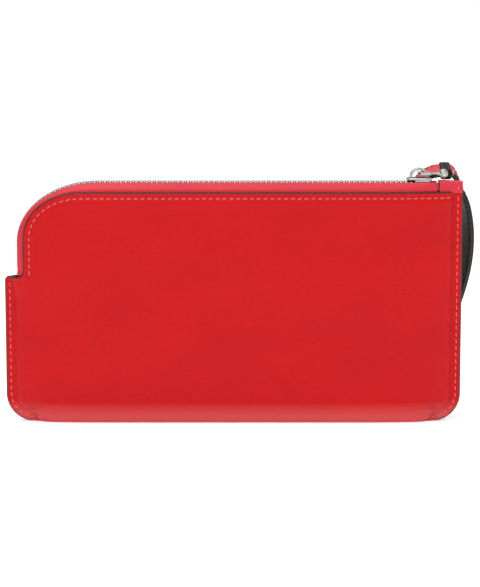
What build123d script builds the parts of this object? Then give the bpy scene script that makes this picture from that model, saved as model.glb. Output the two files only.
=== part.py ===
from build123d import *
import math
import os

# A zip around wristlet wallet of leather, standing on its bottom fold.
# Frame: +X to the right seen from the back wall, +Y towards the front wall, +Z up.
# The origin is the centre of the flat underside of the fold. Lengths are millimetres.

# ---- driving dimensions -------------------------------------------------------------------
WIDTH = 190.5
WALL_TOP = 97.0
HALF_THICK = 8.0
MOUTH_HALF = 7.2
LEATHER = 1.4
LINING = 0.5
LINING_GAP = 0.05
GAP = 0.3

# Bottom fold and seams
FOLD_FLAT = 4.5
FOLD_HEIGHT = 9.0
SHOULDER_Z = 80.0
CORNER_RADIUS = 11.7
SEAM_INNER_X = 91.0
TAPER_START_X = 50.0
TAPER_POWER = 3.0
TAPER_HALF = 8.4

# The step on the left, where the zip ends, and the rounded corner that the zip goes round
STEP_Z = 61.4
STEP_FILLET = 3.3
STEP_ROUND = 1.5
LEFT_EDGE_X = -87.0
CORNER_X = -56.2
CORNER_Z = 75.8
CORNER = (CORNER_X, CORNER_Z)
WALL_CORNER_X = -63.0
WALL_CORNER_Z = 78.0
RIDGE_RISE = 4.4
RIDGE_REACH = 3.2

# The hinged part of the back wall
FLAP_HALF = 45.0
FLAP_FOOT_Z = 50.0

# Zip
STRIP = 0.8
STRIP_GAP = 0.12
STRIP_FLANGE = 6.0
STRIP_TOP_Y = 4.4
STRIP_BELOW_RIDGE = 0.5
TOOTH_PITCH = 2.15
TOOTH_LENGTH = 0.85
TOOTH_REACH = 2.4
TOOTH_OVERLAP = 0.9
TOOTH_HEIGHT = 2.3
TAPE_DEPTH = 0.95
TAPE = 0.5
ZIP_RIGHT_X = 84.6
TEETH_RIGHT_X = 75.4
ZIP_FOOT_Z = 61.9

# Slider, pull and link
SLIDER_X = 77.0
SLIDER_LENGTH = 10.5
SLIDER_HALF = 3.2
PLATE = 1.0
RIDGE_Z = WALL_TOP + RIDGE_RISE
SLIDER_CLEARANCE = 0.25
CROWN_HALF = 4.0
CROWN_HEIGHT = 4.1
CROWN_THICK = 1.0
CROWN_HALF_WIDTH = 1.2
PIVOT_Z = 104.4
BAR_RADIUS = 0.6
EYE_X = 87.2
EYE_RADIUS = 1.85
EYE_HOLE = 1.1
PULL_HALF = 0.7
FRAME_HALF = 2.3
FRAME_ARM = 0.85
RIVET_RADIUS = 1.03
LINK_GAP = 0.15
SWIVEL_Y = 3.2
SWIVEL_RADIUS = 0.8
SWIVEL_BORE = 0.87

# Wrist strap
STRAP_PLY = 1.1
STRAP_WIDTH = 10.4
KEEPER_LEFT_X = 86.5
KEEPER_RIGHT_X = 90.8
KEEPER_WALL = 0.6
STEPS_PER_SPAN = 2

HALF_WIDTH = WIDTH / 2


# ---- the pouch's shape --------------------------------------------------------------------
def taper(x, inset):
    """How much of the full half thickness is left at x, for a skin inset by this much."""
    beyond = abs(x) - TAPER_START_X
    if beyond <= 0:
        return 1.0
    share = min(1.0, beyond / (SEAM_INNER_X - inset - TAPER_START_X))
    return (1.0 - share ** TAPER_POWER) ** (1.0 / TAPER_POWER)


def mouth_lean(z):
    """How far the walls lean in above the shoulder."""
    return (HALF_THICK - MOUTH_HALF) * max(0.0, z - SHOULDER_Z) / (WALL_TOP - SHOULDER_Z)


def inner_half(x, z):
    """Half the room between the two leather walls at x and z."""
    return min((TAPER_HALF - LEATHER) * taper(x, LEATHER), HALF_THICK - LEATHER - mouth_lean(z))


def side_section(inset):
    """The pouch's section across the walls: flat fold, rounded sides, slightly closed mouth."""
    side = HALF_THICK - inset
    mouth = MOUTH_HALF - inset
    top = 2 * WALL_TOP
    centre = (FOLD_FLAT, FOLD_HEIGHT)
    bend = EllipticalCenterArc(centre, side - FOLD_FLAT, FOLD_HEIGHT - inset, 270, arc_size=90)
    wall = Polyline((side, FOLD_HEIGHT), (side, SHOULDER_Z), (mouth, WALL_TOP), (mouth, top), (0, top))
    floor = Polyline((0, top), (0, inset), (FOLD_FLAT, inset))
    half = make_face([*bend.edges(), *wall.edges(), *floor.edges()])
    return half + mirror(half, about=Plane.YZ)


def plan_section(inset):
    """The pouch's section seen from above: full in the middle, tapering to the sewn sides."""
    seam = max(0.0, LEATHER - inset)
    swell = TAPER_HALF - inset - seam
    run = SEAM_INNER_X - inset - TAPER_START_X
    samples = 8
    points = []
    for index in range(samples + 1):
        angle = math.pi / 2 * index / samples
        along = TAPER_START_X + run * math.sin(angle) ** (2 / TAPER_POWER)
        points.append((along, seam + swell * math.cos(angle) ** (2 / TAPER_POWER)))
    side = Spline(*points, tangents=[(1, 0), (0, -1)])
    end_x = points[-1][0]
    if seam > 0:
        lip = [(end_x, seam), (HALF_WIDTH, seam), (HALF_WIDTH, 0), (0, 0)]
    else:
        lip = [(end_x, 0), (0, 0)]
    rest = Polyline(*lip, (0, TAPER_HALF - inset), (TAPER_START_X, TAPER_HALF - inset))
    quarter = make_face([*side.edges(), *rest.edges()])
    half = quarter + mirror(quarter, about=Plane.XZ)
    return half + mirror(half, about=Plane.YZ)


def panel_outline():
    """The walls' outline seen from the back, with the step and the zip's rounded corner."""
    low = HALF_WIDTH - CORNER_RADIUS
    fillet_x = LEFT_EDGE_X - STEP_FILLET
    reach = WALL_CORNER_X - LEFT_EDGE_X
    rise = WALL_TOP - WALL_CORNER_Z
    edges = [
        *Line((-low, 0), (low, 0)).edges(),
        *CenterArc((low, CORNER_RADIUS), CORNER_RADIUS, 270, 90).edges(),
        *Polyline((HALF_WIDTH, CORNER_RADIUS), (HALF_WIDTH, WALL_TOP), (WALL_CORNER_X, WALL_TOP)).edges(),
        *EllipticalCenterArc((WALL_CORNER_X, WALL_CORNER_Z), reach, rise, 90, arc_size=90).edges(),
        *Line((LEFT_EDGE_X, WALL_CORNER_Z), (LEFT_EDGE_X, STEP_Z + STEP_FILLET)).edges(),
        *CenterArc((fillet_x, STEP_Z + STEP_FILLET), STEP_FILLET, 270, 90).edges(),
        *Line((fillet_x, STEP_Z), (STEP_ROUND - HALF_WIDTH, STEP_Z)).edges(),
        *CenterArc((STEP_ROUND - HALF_WIDTH, STEP_Z - STEP_ROUND), STEP_ROUND, 90, 90).edges(),
        *Line((-HALF_WIDTH, STEP_Z - STEP_ROUND), (-HALF_WIDTH, CORNER_RADIUS)).edges(),
        *CenterArc((-low, CORNER_RADIUS), CORNER_RADIUS, 180, 90).edges(),
    ]
    return make_face(edges)


def hollow_outline(inset):
    """The outline of the room inside: open at the top and past the left edge."""
    reach = SEAM_INNER_X - inset
    height = 2 * WALL_TOP
    face = Pos(0, inset + height / 2) * Rectangle(2 * reach, height)
    low = face.vertices().group_by(Axis.Y)[0]
    return fillet(low, CORNER_RADIUS)


def lining_outline():
    """The lining stops short of the gusset strips at the top and the upper left."""
    edge = STRIP_FLANGE + 2
    left = LEFT_EDGE_X + edge
    top = WALL_TOP - edge
    foot = STEP_Z - edge
    edges = [
        *EllipticalCenterArc(CORNER, CORNER_X - left, top - CORNER_Z, 90, arc_size=90).edges(),
        *Polyline((left, CORNER_Z), (left, foot), (-HALF_WIDTH, foot), (-HALF_WIDTH, 0), (HALF_WIDTH, 0),
                  (HALF_WIDTH, top), (CORNER_X, top)).edges(),
    ]
    return make_face(edges)


def across(face):
    """Extrude a face drawn in X and Z through the whole thickness."""
    return extrude(Plane.XZ * face, 2 * HALF_THICK, both=True)


def pouch(inset, outline):
    """The solid inside a skin inset by this much from the leather's outer face."""
    sides = extrude(Plane.YZ * side_section(inset), WIDTH, both=True)
    plan = extrude(plan_section(inset), 2 * WALL_TOP, dir=(0, 0, 1))
    return sides & plan & across(outline)


def flap_block(margin):
    """The window in the back wall that the hinged part fills, grown by a margin."""
    low = (-FLAP_HALF - margin, -2 * HALF_THICK, FLAP_FOOT_Z - margin)
    high = (FLAP_HALF + margin, 0, 2 * WALL_TOP)
    return block(low, high)


def block(low, high):
    """A box from its lowest and highest corners."""
    size = [high[axis] - low[axis] for axis in range(3)]
    return Pos(*low) * Box(*size, align=(Align.MIN, Align.MIN, Align.MIN))


def shell_nodes():
    """Leather and lining, each cut into the fixed part and the hinged part of the back wall."""
    leather = pouch(0, panel_outline())
    leather -= pouch(LEATHER, hollow_outline(LEATHER))
    outside = LEATHER + LINING_GAP
    lining = pouch(outside, hollow_outline(outside) & lining_outline())
    lining -= pouch(outside + LINING, hollow_outline(outside + LINING))
    return {
        "outer_leather": leather - flap_block(GAP),
        "back_flap_leather": leather & flap_block(0),
        "lining_bag": lining - flap_block(GAP),
        "back_flap_lining": lining & flap_block(0),
    }


# ---- the zip's rail -----------------------------------------------------------------------
def edge_inside(ridge):
    """The wall's edge inside a point of the ridge: straight below, straight across or on the corner."""
    x, z = ridge
    if x >= WALL_CORNER_X:
        return (x, WALL_TOP)
    if z <= WALL_CORNER_Z:
        return (LEFT_EDGE_X, z)
    away_x = x - WALL_CORNER_X
    away_z = z - WALL_CORNER_Z
    size = math.hypot(away_x / (WALL_CORNER_X - LEFT_EDGE_X), away_z / (WALL_TOP - WALL_CORNER_Z))
    return (WALL_CORNER_X + away_x / size, WALL_CORNER_Z + away_z / size)


def corner_state(angle):
    """Wall edge and ridge on the rounded corner, angle 90 at the top to 180 at the left."""
    turn = math.radians(angle)
    ridge = (CORNER_X + (CORNER_X - LEFT_EDGE_X + RIDGE_REACH) * math.cos(turn),
             CORNER_Z + (RIDGE_Z - CORNER_Z) * math.sin(turn))
    return edge_inside(ridge), ridge


def top_state(x):
    """Wall edge and ridge on the straight run along the top."""
    return (x, WALL_TOP), (x, RIDGE_Z)


def left_state(z):
    """Wall edge and ridge on the straight run down the left."""
    return (LEFT_EDGE_X, z), (LEFT_EDGE_X - RIDGE_REACH, z)


def rail_states(right_x, foot_z):
    """Stations from the zip's right end to its foot, close together where the shape bends."""
    states = [top_state(x) for x in (right_x, 81.0, 79.0, 77.0, 0.0)]
    states += [corner_state(90 + 7.5 * step) for step in range(13)]
    states.append(left_state(foot_z))
    return states


def rail_frame(state):
    """Wall edge, ridge and the unit direction from one to the other, in X and Z."""
    edge, ridge = state
    rise = math.dist(edge, ridge)
    return edge, ridge, ((ridge[0] - edge[0]) / rise, (ridge[1] - edge[1]) / rise), rise


def loft_along(states, section, side):
    """Join one section per station, each a list of (height above the edge, distance from the middle)."""
    faces = []
    for state in states:
        edge, ridge, out, rise = rail_frame(state)
        corners = []
        for up, y in section(edge, rise):
            corners.append((edge[0] + out[0] * up, side * y, edge[1] + out[1] * up))
        faces.append(make_face(Polyline(*corners, close=True).edges()))
    return loft(faces, ruled=True)


def strip_section(edge, rise):
    """A gusset strip: a flange sewn inside the wall, then a roof up to the zip."""
    wall = inner_half(*edge) - STRIP_GAP
    top = min(STRIP_TOP_Y, wall - LINING_GAP)
    lip = rise - STRIP_BELOW_RIDGE
    return [(-STRIP_FLANGE, wall), (0, wall), (lip, top), (lip, top - STRIP), (0, wall - STRIP),
            (-STRIP_FLANGE, wall - STRIP)]


def tape_section(edge, rise):
    """A zip tape: flat from the teeth to the strip's inner face."""
    strip_top = strip_section(edge, rise)[3][1]
    outer = strip_top - LINING_GAP
    low = rise - TAPE_DEPTH - TAPE
    high = rise - TAPE_DEPTH
    return [(low, TOOTH_REACH), (high, TOOTH_REACH), (high, outer), (low, outer)]


def ridge_path():
    """The ridge as one path from the teeth's right end to their foot."""
    radii = (CORNER_X - LEFT_EDGE_X + RIDGE_REACH, RIDGE_Z - CORNER_Z)
    left_x = LEFT_EDGE_X - RIDGE_REACH
    edges = [
        *Line((TEETH_RIGHT_X, RIDGE_Z), (CORNER_X, RIDGE_Z)).edges(),
        *EllipticalCenterArc(CORNER, radii[0], radii[1], 90, arc_size=90).edges(),
        *Line((left_x, CORNER_Z), (left_x, ZIP_FOOT_Z + TOOTH_HEIGHT)).edges(),
    ]
    return Wire(edges)


def tooth_at(point, tangent, side):
    """One tooth, standing across the ridge and reaching a little past the middle."""
    out = (tangent.Y, -tangent.X)
    origin = (point.X, 0, point.Y)
    plane = Plane(origin, x_dir=(0, side, 0), z_dir=(side * out[1], 0, -side * out[0]))
    chamfer = 0.4
    shoulder = -0.2 * TOOTH_HEIGHT
    profile = [(-TOOTH_OVERLAP, -TOOTH_HEIGHT), (-TOOTH_OVERLAP, shoulder), (chamfer - TOOTH_OVERLAP, 0),
               (TOOTH_REACH - chamfer, 0), (TOOTH_REACH, shoulder), (TOOTH_REACH, -TOOTH_HEIGHT)]
    face = make_face(Polyline(*profile, close=True).edges())
    return extrude(plane * face, TOOTH_LENGTH / 2, both=True)


def teeth(side):
    """One row of teeth. The two rows are half a pitch apart."""
    path = ridge_path()
    offset = 0.25 if side > 0 else 0.75
    count = int(path.length / TOOTH_PITCH)
    solids = []
    for index in range(count):
        place = (index + offset) * TOOTH_PITCH / path.length
        if place < 1:
            solids.append(tooth_at(path @ place, path % place, side))
    return Compound(children=solids)


def zip_nodes():
    """Gusset strips, tapes, teeth, stops and the tab at the right end."""
    strip_states = rail_states(ZIP_RIGHT_X, ZIP_FOOT_Z)
    nodes = {}
    for name, side in (("front", 1), ("back", -1)):
        nodes[f"gusset_strip_{name}"] = loft_along(strip_states, strip_section, side)
        nodes[f"zip_tape_{name}"] = loft_along(strip_states, tape_section, side)
        nodes[f"zip_teeth_{name}"] = teeth(side)
    nodes["zip_top_stops"] = top_stops()
    nodes["zip_bottom_stop"] = bottom_stop()
    nodes["zip_end_tab"] = end_tab()
    return nodes


def top_stops():
    """Two small metal clamps, one on each tape, that stop the slider at the right."""
    length = 1.6
    inner = 0.4
    start = TEETH_RIGHT_X + 0.8
    stops = []
    for side in (-1, 1):
        sides = sorted((side * inner, side * TOOTH_REACH))
        low = (start, sides[0], RIDGE_Z - TOOTH_HEIGHT)
        high = (start + length, sides[1], RIDGE_Z - 0.1)
        stops.append(fillet(block(low, high).edges().filter_by(Axis.X), 0.3))
    return Compound(children=stops)


def bottom_stop():
    """A metal clamp across both tapes at the foot of the zip."""
    ridge_x = LEFT_EDGE_X - RIDGE_REACH
    low = (ridge_x, -TOOTH_REACH, ZIP_FOOT_Z)
    high = (ridge_x + TOOTH_HEIGHT, TOOTH_REACH, ZIP_FOOT_Z + 1.6)
    return fillet(block(low, high).edges().filter_by(Axis.Z), 0.4)


def end_tab():
    """Folded leather over the zip's right end, from the walls' width down to the seam's."""
    height = 4.4
    left_x = ZIP_RIGHT_X + 0.6
    round_over = 0.9
    points = [(left_x, 4.1), (89.0, 3.5), (SEAM_INNER_X, LEATHER + 0.5), (HALF_WIDTH, LEATHER)]
    outline = points + [(x, -y) for x, y in reversed(points)]
    body = extrude(make_face(Polyline(*outline, close=True).edges()), height, dir=(0, 0, 1))
    body = fillet(body.faces().sort_by(Axis.Z)[-1].edges().filter_by(Axis.X, reverse=True), round_over)
    return Pos(0, 0, WALL_TOP) * body


# ---- slider and pull ----------------------------------------------------------------------
def slider_body():
    """Two plates joined by a wedge, with flanges that guide the tapes."""
    start = SLIDER_X - SLIDER_LENGTH / 2
    end = SLIDER_X + SLIDER_LENGTH / 2
    top_low = RIDGE_Z + SLIDER_CLEARANCE
    bottom_high = RIDGE_Z - TOOTH_HEIGHT - SLIDER_CLEARANCE
    flange = 0.45
    tape_gap = 0.25
    tape_high = RIDGE_Z - TAPE_DEPTH + tape_gap
    tape_low = RIDGE_Z - TAPE_DEPTH - TAPE - tape_gap
    body = block((start, -SLIDER_HALF, top_low), (end, SLIDER_HALF, top_low + PLATE))
    body = fillet(body.edges().filter_by(Axis.Z), 1.6)
    lower = block((start, -SLIDER_HALF, bottom_high - PLATE), (end, SLIDER_HALF, bottom_high))
    body += fillet(lower.edges().filter_by(Axis.Z), 1.6)
    for side in (-1, 1):
        reach = sorted((side * (SLIDER_HALF - flange), side * SLIDER_HALF))
        guide = (start + 1.6, end - 1.6)
        body += block((guide[0], reach[0], tape_high), (guide[1], reach[1], top_low))
        body += block((guide[0], reach[0], bottom_high), (guide[1], reach[1], tape_low))
    wedge = Polyline((end - 3.2, 0), (end - 1.6, 0.9), (end - 0.6, 0.9), (end - 0.6, -0.9), (end - 1.6, -0.9),
                     close=True)
    body += Pos(0, 0, bottom_high) * extrude(make_face(wedge.edges()), top_low - bottom_high, dir=(0, 0, 1))
    return body


def crown_base_z():
    """The upper face of the slider's top plate."""
    return RIDGE_Z + SLIDER_CLEARANCE + PLATE


def half_ellipse(reach, height):
    """A half ellipse standing on a straight base."""
    arc = EllipticalCenterArc((0, 0), reach, height, 0, arc_size=180)
    return make_face([*arc.edges(), *Line((-reach, 0), (reach, 0)).edges()])


def slider_crown():
    """The arched bridge that holds the pull."""
    arch = half_ellipse(CROWN_HALF, CROWN_HEIGHT)
    arch -= half_ellipse(CROWN_HALF - CROWN_THICK, CROWN_HEIGHT - CROWN_THICK)
    body = extrude(Plane.XZ * arch, CROWN_HALF_WIDTH, both=True)
    return Pos(SLIDER_X, 0, crown_base_z()) * body


def lock_spring():
    """A flat spring on the top plate, inside the crown."""
    length = 4.8
    thick = 0.3
    low = (SLIDER_X - length / 2, -0.5, crown_base_z())
    return block(low, (SLIDER_X + length / 2, 0.5, crown_base_z() + thick))


def round_bar(start, end, radius):
    """A round bar between two points."""
    axis = Vector(*end) - Vector(*start)
    plane = Plane(origin=start, z_dir=axis)
    return extrude(plane * Circle(radius), axis.length)


def pull_tab():
    """A frame round the crown, a shank and an eye, all in one piece."""
    inner_x = SLIDER_X + CROWN_HALF + 0.3
    frame_end = inner_x + 0.9
    low_z = PIVOT_Z - BAR_RADIUS
    high_z = PIVOT_Z + BAR_RADIUS
    body = round_bar((SLIDER_X, -FRAME_HALF, PIVOT_Z), (SLIDER_X, FRAME_HALF, PIVOT_Z), BAR_RADIUS)
    for side in (-1, 1):
        reach = sorted((side * (FRAME_HALF - FRAME_ARM), side * FRAME_HALF))
        body += block((SLIDER_X, reach[0], low_z), (frame_end, reach[1], high_z))
    body += block((inner_x, -FRAME_HALF, low_z), (frame_end, FRAME_HALF, high_z))
    body += block((frame_end, -PULL_HALF, low_z), (EYE_X, PULL_HALF, high_z))
    body += round_bar((EYE_X, -PULL_HALF, PIVOT_Z), (EYE_X, PULL_HALF, PIVOT_Z), EYE_RADIUS)
    return body - round_bar((EYE_X, -EYE_RADIUS, PIVOT_Z), (EYE_X, EYE_RADIUS, PIVOT_Z), EYE_HOLE)


def link_rivet():
    """The rivet that the pull's eye turns on."""
    head_radius = 1.45
    head = 0.6
    front = -PULL_HALF - LINK_GAP
    back = PULL_HALF + LINK_GAP
    body = round_bar((EYE_X, front, PIVOT_Z), (EYE_X, back, PIVOT_Z), RIVET_RADIUS)
    return body + round_bar((EYE_X, front - head, PIVOT_Z), (EYE_X, front, PIVOT_Z), head_radius)


def strap_link():
    """A plate behind the eye, with a cross pin that the keeper turns on."""
    front = PULL_HALF + LINK_GAP
    plate = 0.6
    lug_left = KEEPER_LEFT_X - 1.9
    lug_right = KEEPER_LEFT_X - GAP
    body = round_bar((EYE_X, front, PIVOT_Z), (EYE_X, front + plate, PIVOT_Z), 1.7)
    body += block((lug_left, front, PIVOT_Z - 1), (lug_right, front + plate, PIVOT_Z + 1))
    body += block((lug_left, front, PIVOT_Z - 1), (lug_right, SWIVEL_Y + 1, PIVOT_Z + 1))
    pin_end = KEEPER_RIGHT_X + GAP
    body += round_bar((lug_right, SWIVEL_Y, PIVOT_Z), (pin_end, SWIVEL_Y, PIVOT_Z), SWIVEL_RADIUS)
    return body + round_bar((pin_end, SWIVEL_Y, PIVOT_Z), (pin_end + 0.5, SWIVEL_Y, PIVOT_Z), 1.2)


# ---- wrist strap --------------------------------------------------------------------------
# The strap's near and far edges, from the keeper's right face down behind the right side,
# round the bottom of the loop and up to the keeper's left face.
STRAP_EDGES = [
    ((KEEPER_RIGHT_X, 4.9, 103.0), (KEEPER_RIGHT_X, 14.9, 106.0)),
    ((93.0, 6.4, 101.6), (93.0, 16.0, 103.2)),
    ((95.2, 8.9, 97.0), (94.9, 19.2, 98.0)),
    ((98.9, 10.6, 89.0), (96.6, 20.4, 89.6)),
    ((100.8, 11.0, 76.0), (96.8, 20.8, 76.0)),
    ((99.5, 10.8, 62.0), (95.8, 20.8, 61.5)),
    ((95.0, 10.4, 47.0), (92.6, 20.8, 46.0)),
    ((87.5, 10.0, 31.5), (86.2, 20.6, 30.5)),
    ((76.5, 9.8, 18.0), (76.0, 20.4, 17.0)),
    ((62.0, 9.8, 9.8), (62.0, 20.4, 9.0)),
    ((47.0, 9.8, 11.0), (47.0, 20.4, 10.4)),
    ((35.8, 9.8, 22.0), (36.0, 20.4, 21.5)),
    ((31.6, 9.8, 38.0), (32.0, 20.4, 38.0)),
    ((35.0, 9.8, 55.0), (35.2, 20.4, 55.0)),
    ((43.5, 9.8, 69.5), (43.6, 20.4, 69.5)),
    ((54.5, 9.8, 80.5), (54.5, 20.2, 80.8)),
    ((66.0, 9.8, 89.0), (66.0, 20.0, 89.8)),
    ((74.5, 8.9, 95.8), (74.5, 18.8, 97.4)),
    ((80.5, 6.4, 101.2), (80.5, 16.2, 103.8)),
    ((KEEPER_LEFT_X, 4.9, 103.0), (KEEPER_LEFT_X, 14.9, 106.0)),
]


def smooth_between(before, start, end, after, share):
    """A point on the smooth curve through four points, between the middle two."""
    result = []
    for a, b, c, d in zip(before, start, end, after):
        result.append(0.5 * (2 * b + (c - a) * share + (2 * a - 5 * b + 4 * c - d) * share ** 2
                             + (3 * b - a - 3 * c + d) * share ** 3))
    return Vector(*result)


def strap_stations():
    """Middle, width direction and running direction, close together along the strap."""
    mirrored_start = mirror_end(STRAP_EDGES[0], STRAP_EDGES[1])
    mirrored_end = mirror_end(STRAP_EDGES[-1], STRAP_EDGES[-2])
    edges = [mirrored_start, *STRAP_EDGES, mirrored_end]
    rows = []
    for index in range(1, len(edges) - 2):
        for step in range(STEPS_PER_SPAN):
            rows.append(edge_pair(edges[index - 1:index + 3], step / STEPS_PER_SPAN))
    rows.append(edge_pair(edges[-4:], 1.0))
    middles = [(near + far) * 0.5 for near, far in rows]
    stations = []
    for index, (near, far) in enumerate(rows):
        ahead = middles[min(index + 1, len(rows) - 1)] - middles[max(index - 1, 0)]
        if index in (0, len(rows) - 1):
            ahead = Vector(1, 0, 0)
        stations.append((middles[index], (far - near).normalized(), ahead.normalized()))
    return stations


def mirror_end(end, neighbour):
    """The neighbour seen in the keeper's face, so that the strap leaves the face squarely."""
    return tuple((2 * a[0] - b[0], b[1], b[2]) for a, b in zip(end, neighbour))


def edge_pair(four, share):
    """Near and far edge points within one span."""
    near = smooth_between(*[pair[0] for pair in four], share)
    far = smooth_between(*[pair[1] for pair in four], share)
    return near, far


def strap_ply(low, high):
    """One ply of the strap, between two distances from its middle surface."""
    faces = []
    for middle, width_way, ahead in strap_stations():
        out = strap_outward(ahead, width_way)
        side = width_way * (STRAP_WIDTH / 2)
        corners = [middle - side + out * low, middle + side + out * low, middle + side + out * high,
                   middle - side + out * high]
        faces.append(make_face(Polyline(*corners, close=True).edges()))
    return loft(faces, ruled=True)


def strap_outward(ahead, width_way):
    """The direction out of the loop, square to the strap's width."""
    return ahead.cross(width_way).normalized()


def strap_keeper():
    """The black keeper: a block over the strap's ends, with an eye round the cross pin."""
    near, far = (Vector(*point) for point in STRAP_EDGES[0])
    width_way = (far - near).normalized()
    middle = (near + far) * 0.5
    length = KEEPER_RIGHT_X - KEEPER_LEFT_X
    plane = Plane(origin=(KEEPER_LEFT_X, middle.Y, middle.Z), x_dir=width_way, z_dir=(1, 0, 0))
    face = Rectangle(STRAP_WIDTH + 2 * KEEPER_WALL, 2 * STRAP_PLY + 2 * KEEPER_WALL)
    body = extrude(plane * face, length)
    body = fillet(body.edges().filter_by(Axis.X), KEEPER_WALL)
    eye = round_bar((KEEPER_LEFT_X, SWIVEL_Y, PIVOT_Z), (KEEPER_RIGHT_X, SWIVEL_Y, PIVOT_Z), 1.5)
    bore_start = (KEEPER_LEFT_X - 1, SWIVEL_Y, PIVOT_Z)
    bore_end = (KEEPER_RIGHT_X + 1, SWIVEL_Y, PIVOT_Z)
    bore = round_bar(bore_start, bore_end, SWIVEL_BORE)
    return body + eye - bore


# ---- inside -------------------------------------------------------------------------------
def inside_nodes():
    """Board in the fold and the card panel on the front wall."""
    floor = LEATHER + LINING_GAP + LINING
    board_half = 4.2
    board_reach = 66.0
    panel_half = 72.0
    leaf = 0.7
    panel_y = 4.8
    low = (-board_reach, -board_half, floor + 0.1)
    high = (board_reach, board_half, floor + 0.9)
    nodes = {"bottom_stiffener": block(low, high)}
    nodes["card_backing"] = block((-panel_half, panel_y, 5), (panel_half, panel_y + leaf, 86))
    for index, (name, top) in enumerate((("top", 77), ("middle", 65), ("bottom", 53))):
        back = panel_y - index * leaf
        low = (-panel_half, back - leaf, 5)
        nodes[f"card_pocket_{name}"] = block(low, (panel_half, back, top))
    return nodes


def all_nodes():
    """Every node of the wallet by name."""
    nodes = {}
    nodes.update(shell_nodes())
    nodes.update(zip_nodes())
    nodes.update(inside_nodes())
    nodes["slider_body"] = slider_body()
    nodes["slider_crown"] = slider_crown()
    nodes["slider_lock_spring"] = lock_spring()
    nodes["pull_tab"] = pull_tab()
    nodes["link_rivet"] = link_rivet()
    nodes["strap_link"] = strap_link()
    nodes["strap_keeper"] = strap_keeper()
    nodes["strap_leather"] = strap_ply(0, STRAP_PLY)
    nodes["strap_lining"] = strap_ply(-STRAP_PLY, 0)
    return nodes


os.makedirs("parts", exist_ok=True)
for node_name, shape in all_nodes().items():
    export_step(shape, f"parts/{node_name}.step")
    print(node_name, round(shape.volume, 1))
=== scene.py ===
import bpy
import bmesh
import math
import numpy as np
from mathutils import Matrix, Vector, noise


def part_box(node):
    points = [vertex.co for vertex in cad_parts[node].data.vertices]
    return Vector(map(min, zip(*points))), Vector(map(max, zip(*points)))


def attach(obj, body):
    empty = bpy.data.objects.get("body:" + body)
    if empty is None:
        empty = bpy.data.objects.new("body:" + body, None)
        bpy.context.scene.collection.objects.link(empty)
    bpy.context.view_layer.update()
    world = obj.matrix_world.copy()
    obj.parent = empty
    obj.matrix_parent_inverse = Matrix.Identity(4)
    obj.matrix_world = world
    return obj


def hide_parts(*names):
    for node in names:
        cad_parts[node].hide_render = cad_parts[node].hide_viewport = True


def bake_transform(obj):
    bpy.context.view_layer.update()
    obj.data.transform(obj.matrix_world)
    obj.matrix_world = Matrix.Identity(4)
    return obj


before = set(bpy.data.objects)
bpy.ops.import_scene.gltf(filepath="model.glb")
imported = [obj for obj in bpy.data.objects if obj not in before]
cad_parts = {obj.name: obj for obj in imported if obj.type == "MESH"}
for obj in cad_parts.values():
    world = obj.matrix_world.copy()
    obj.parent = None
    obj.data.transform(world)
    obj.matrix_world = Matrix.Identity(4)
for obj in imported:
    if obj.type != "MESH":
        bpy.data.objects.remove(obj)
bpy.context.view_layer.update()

# A red leather wristlet wallet with its zip closed, standing on its fold. Shapes are worked out
# in millimetres in the CAD's frame and scaled to metres when a mesh is made.
MM = 0.001


def node_box(node):
    """The low and high corners of a CAD node, in millimetres."""
    return tuple(np.array(corner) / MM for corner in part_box(node))


# ---- driving dimensions, in millimetres ----------------------------------------------------------
HALF_WIDTH, HALF_THICK, WALL_TOP = node_box("outer_leather")[1]
MOUTH_HALF = 7.2
LEATHER = 1.4
SEAM_HALF = 1.4
SEAM_WIDTH = 4.2
SWELL_RUN = 41.0
SOFT_POWER = 0.52
FULL_POWER = 2.6
FOLD_END_TUCK = 2.2
FOLD_FLAT = 4.5
FOLD_HEIGHT = 9.0
LEAN_START_Z = 50.0
LEAN_END_Z = WALL_TOP + 14
CORNER_RADIUS = 11.7
STEP_Z = 61.4
STEP_FILLET = 3.3
STEP_ROUND = 1.5
STEP_LOW_Z, STEP_HIGH_Z = 50.0, 66.0
LEFT_EDGE_X = -87.0
CORNER_X = -56.2
CORNER_Z = 75.8
WALL_CORNER_X = -63.0
WALL_CORNER_Z = 78.0
RIDGE_RISE = 4.4
RIDGE_REACH = 3.2
EDGE_ROUND = 0.4
STITCH_PITCH = 2.8
SIDE_STITCH_IN = 2.0
TOP_STITCH_IN = 2.4
GROOVE_DEPTH = 0.28
GROOVE_WIDTH = 0.75
PUFF_PAST_STITCH, PUFF_WIDTH, PUFF_HEIGHT = 2.2, 1.6, 0.12
RIPPLE_HEIGHT = 0.35
RIPPLE_WIDE, RIPPLE_HIGH = 34.0, 21.0

STRIP = 0.8
STRIP_TOP_Y = 4.4
STRIP_CLEARANCE = 0.06
STRIP_SHORT_OF_RIDGE = 0.55
STRIP_BOW = 0.28
STRIP_TUCK = 4.5
STRIP_RIGHT_X = 84.6
TAPE_DEPTH = 0.95
TOOTH_PITCH = 2.15
TOOTH_HEIGHT = 2.3
TEETH_RIGHT_X = 75.4
ZIP_FOOT_Z = 61.9
RAIL_STEP = 1.4

HINGE_Z = 50.0
MOUTH_LEFT_X = -70.0
MOUTH_RIGHT_X = 76.0

FAR = 99.0
TINY = 1e-6


def smooth(low, high, value):
    """0 below low, 1 above high and a smooth ramp between, for numbers or arrays."""
    share = np.clip((value - low) / (high - low), 0.0, 1.0)
    return share * share * (3 - 2 * share)


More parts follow.
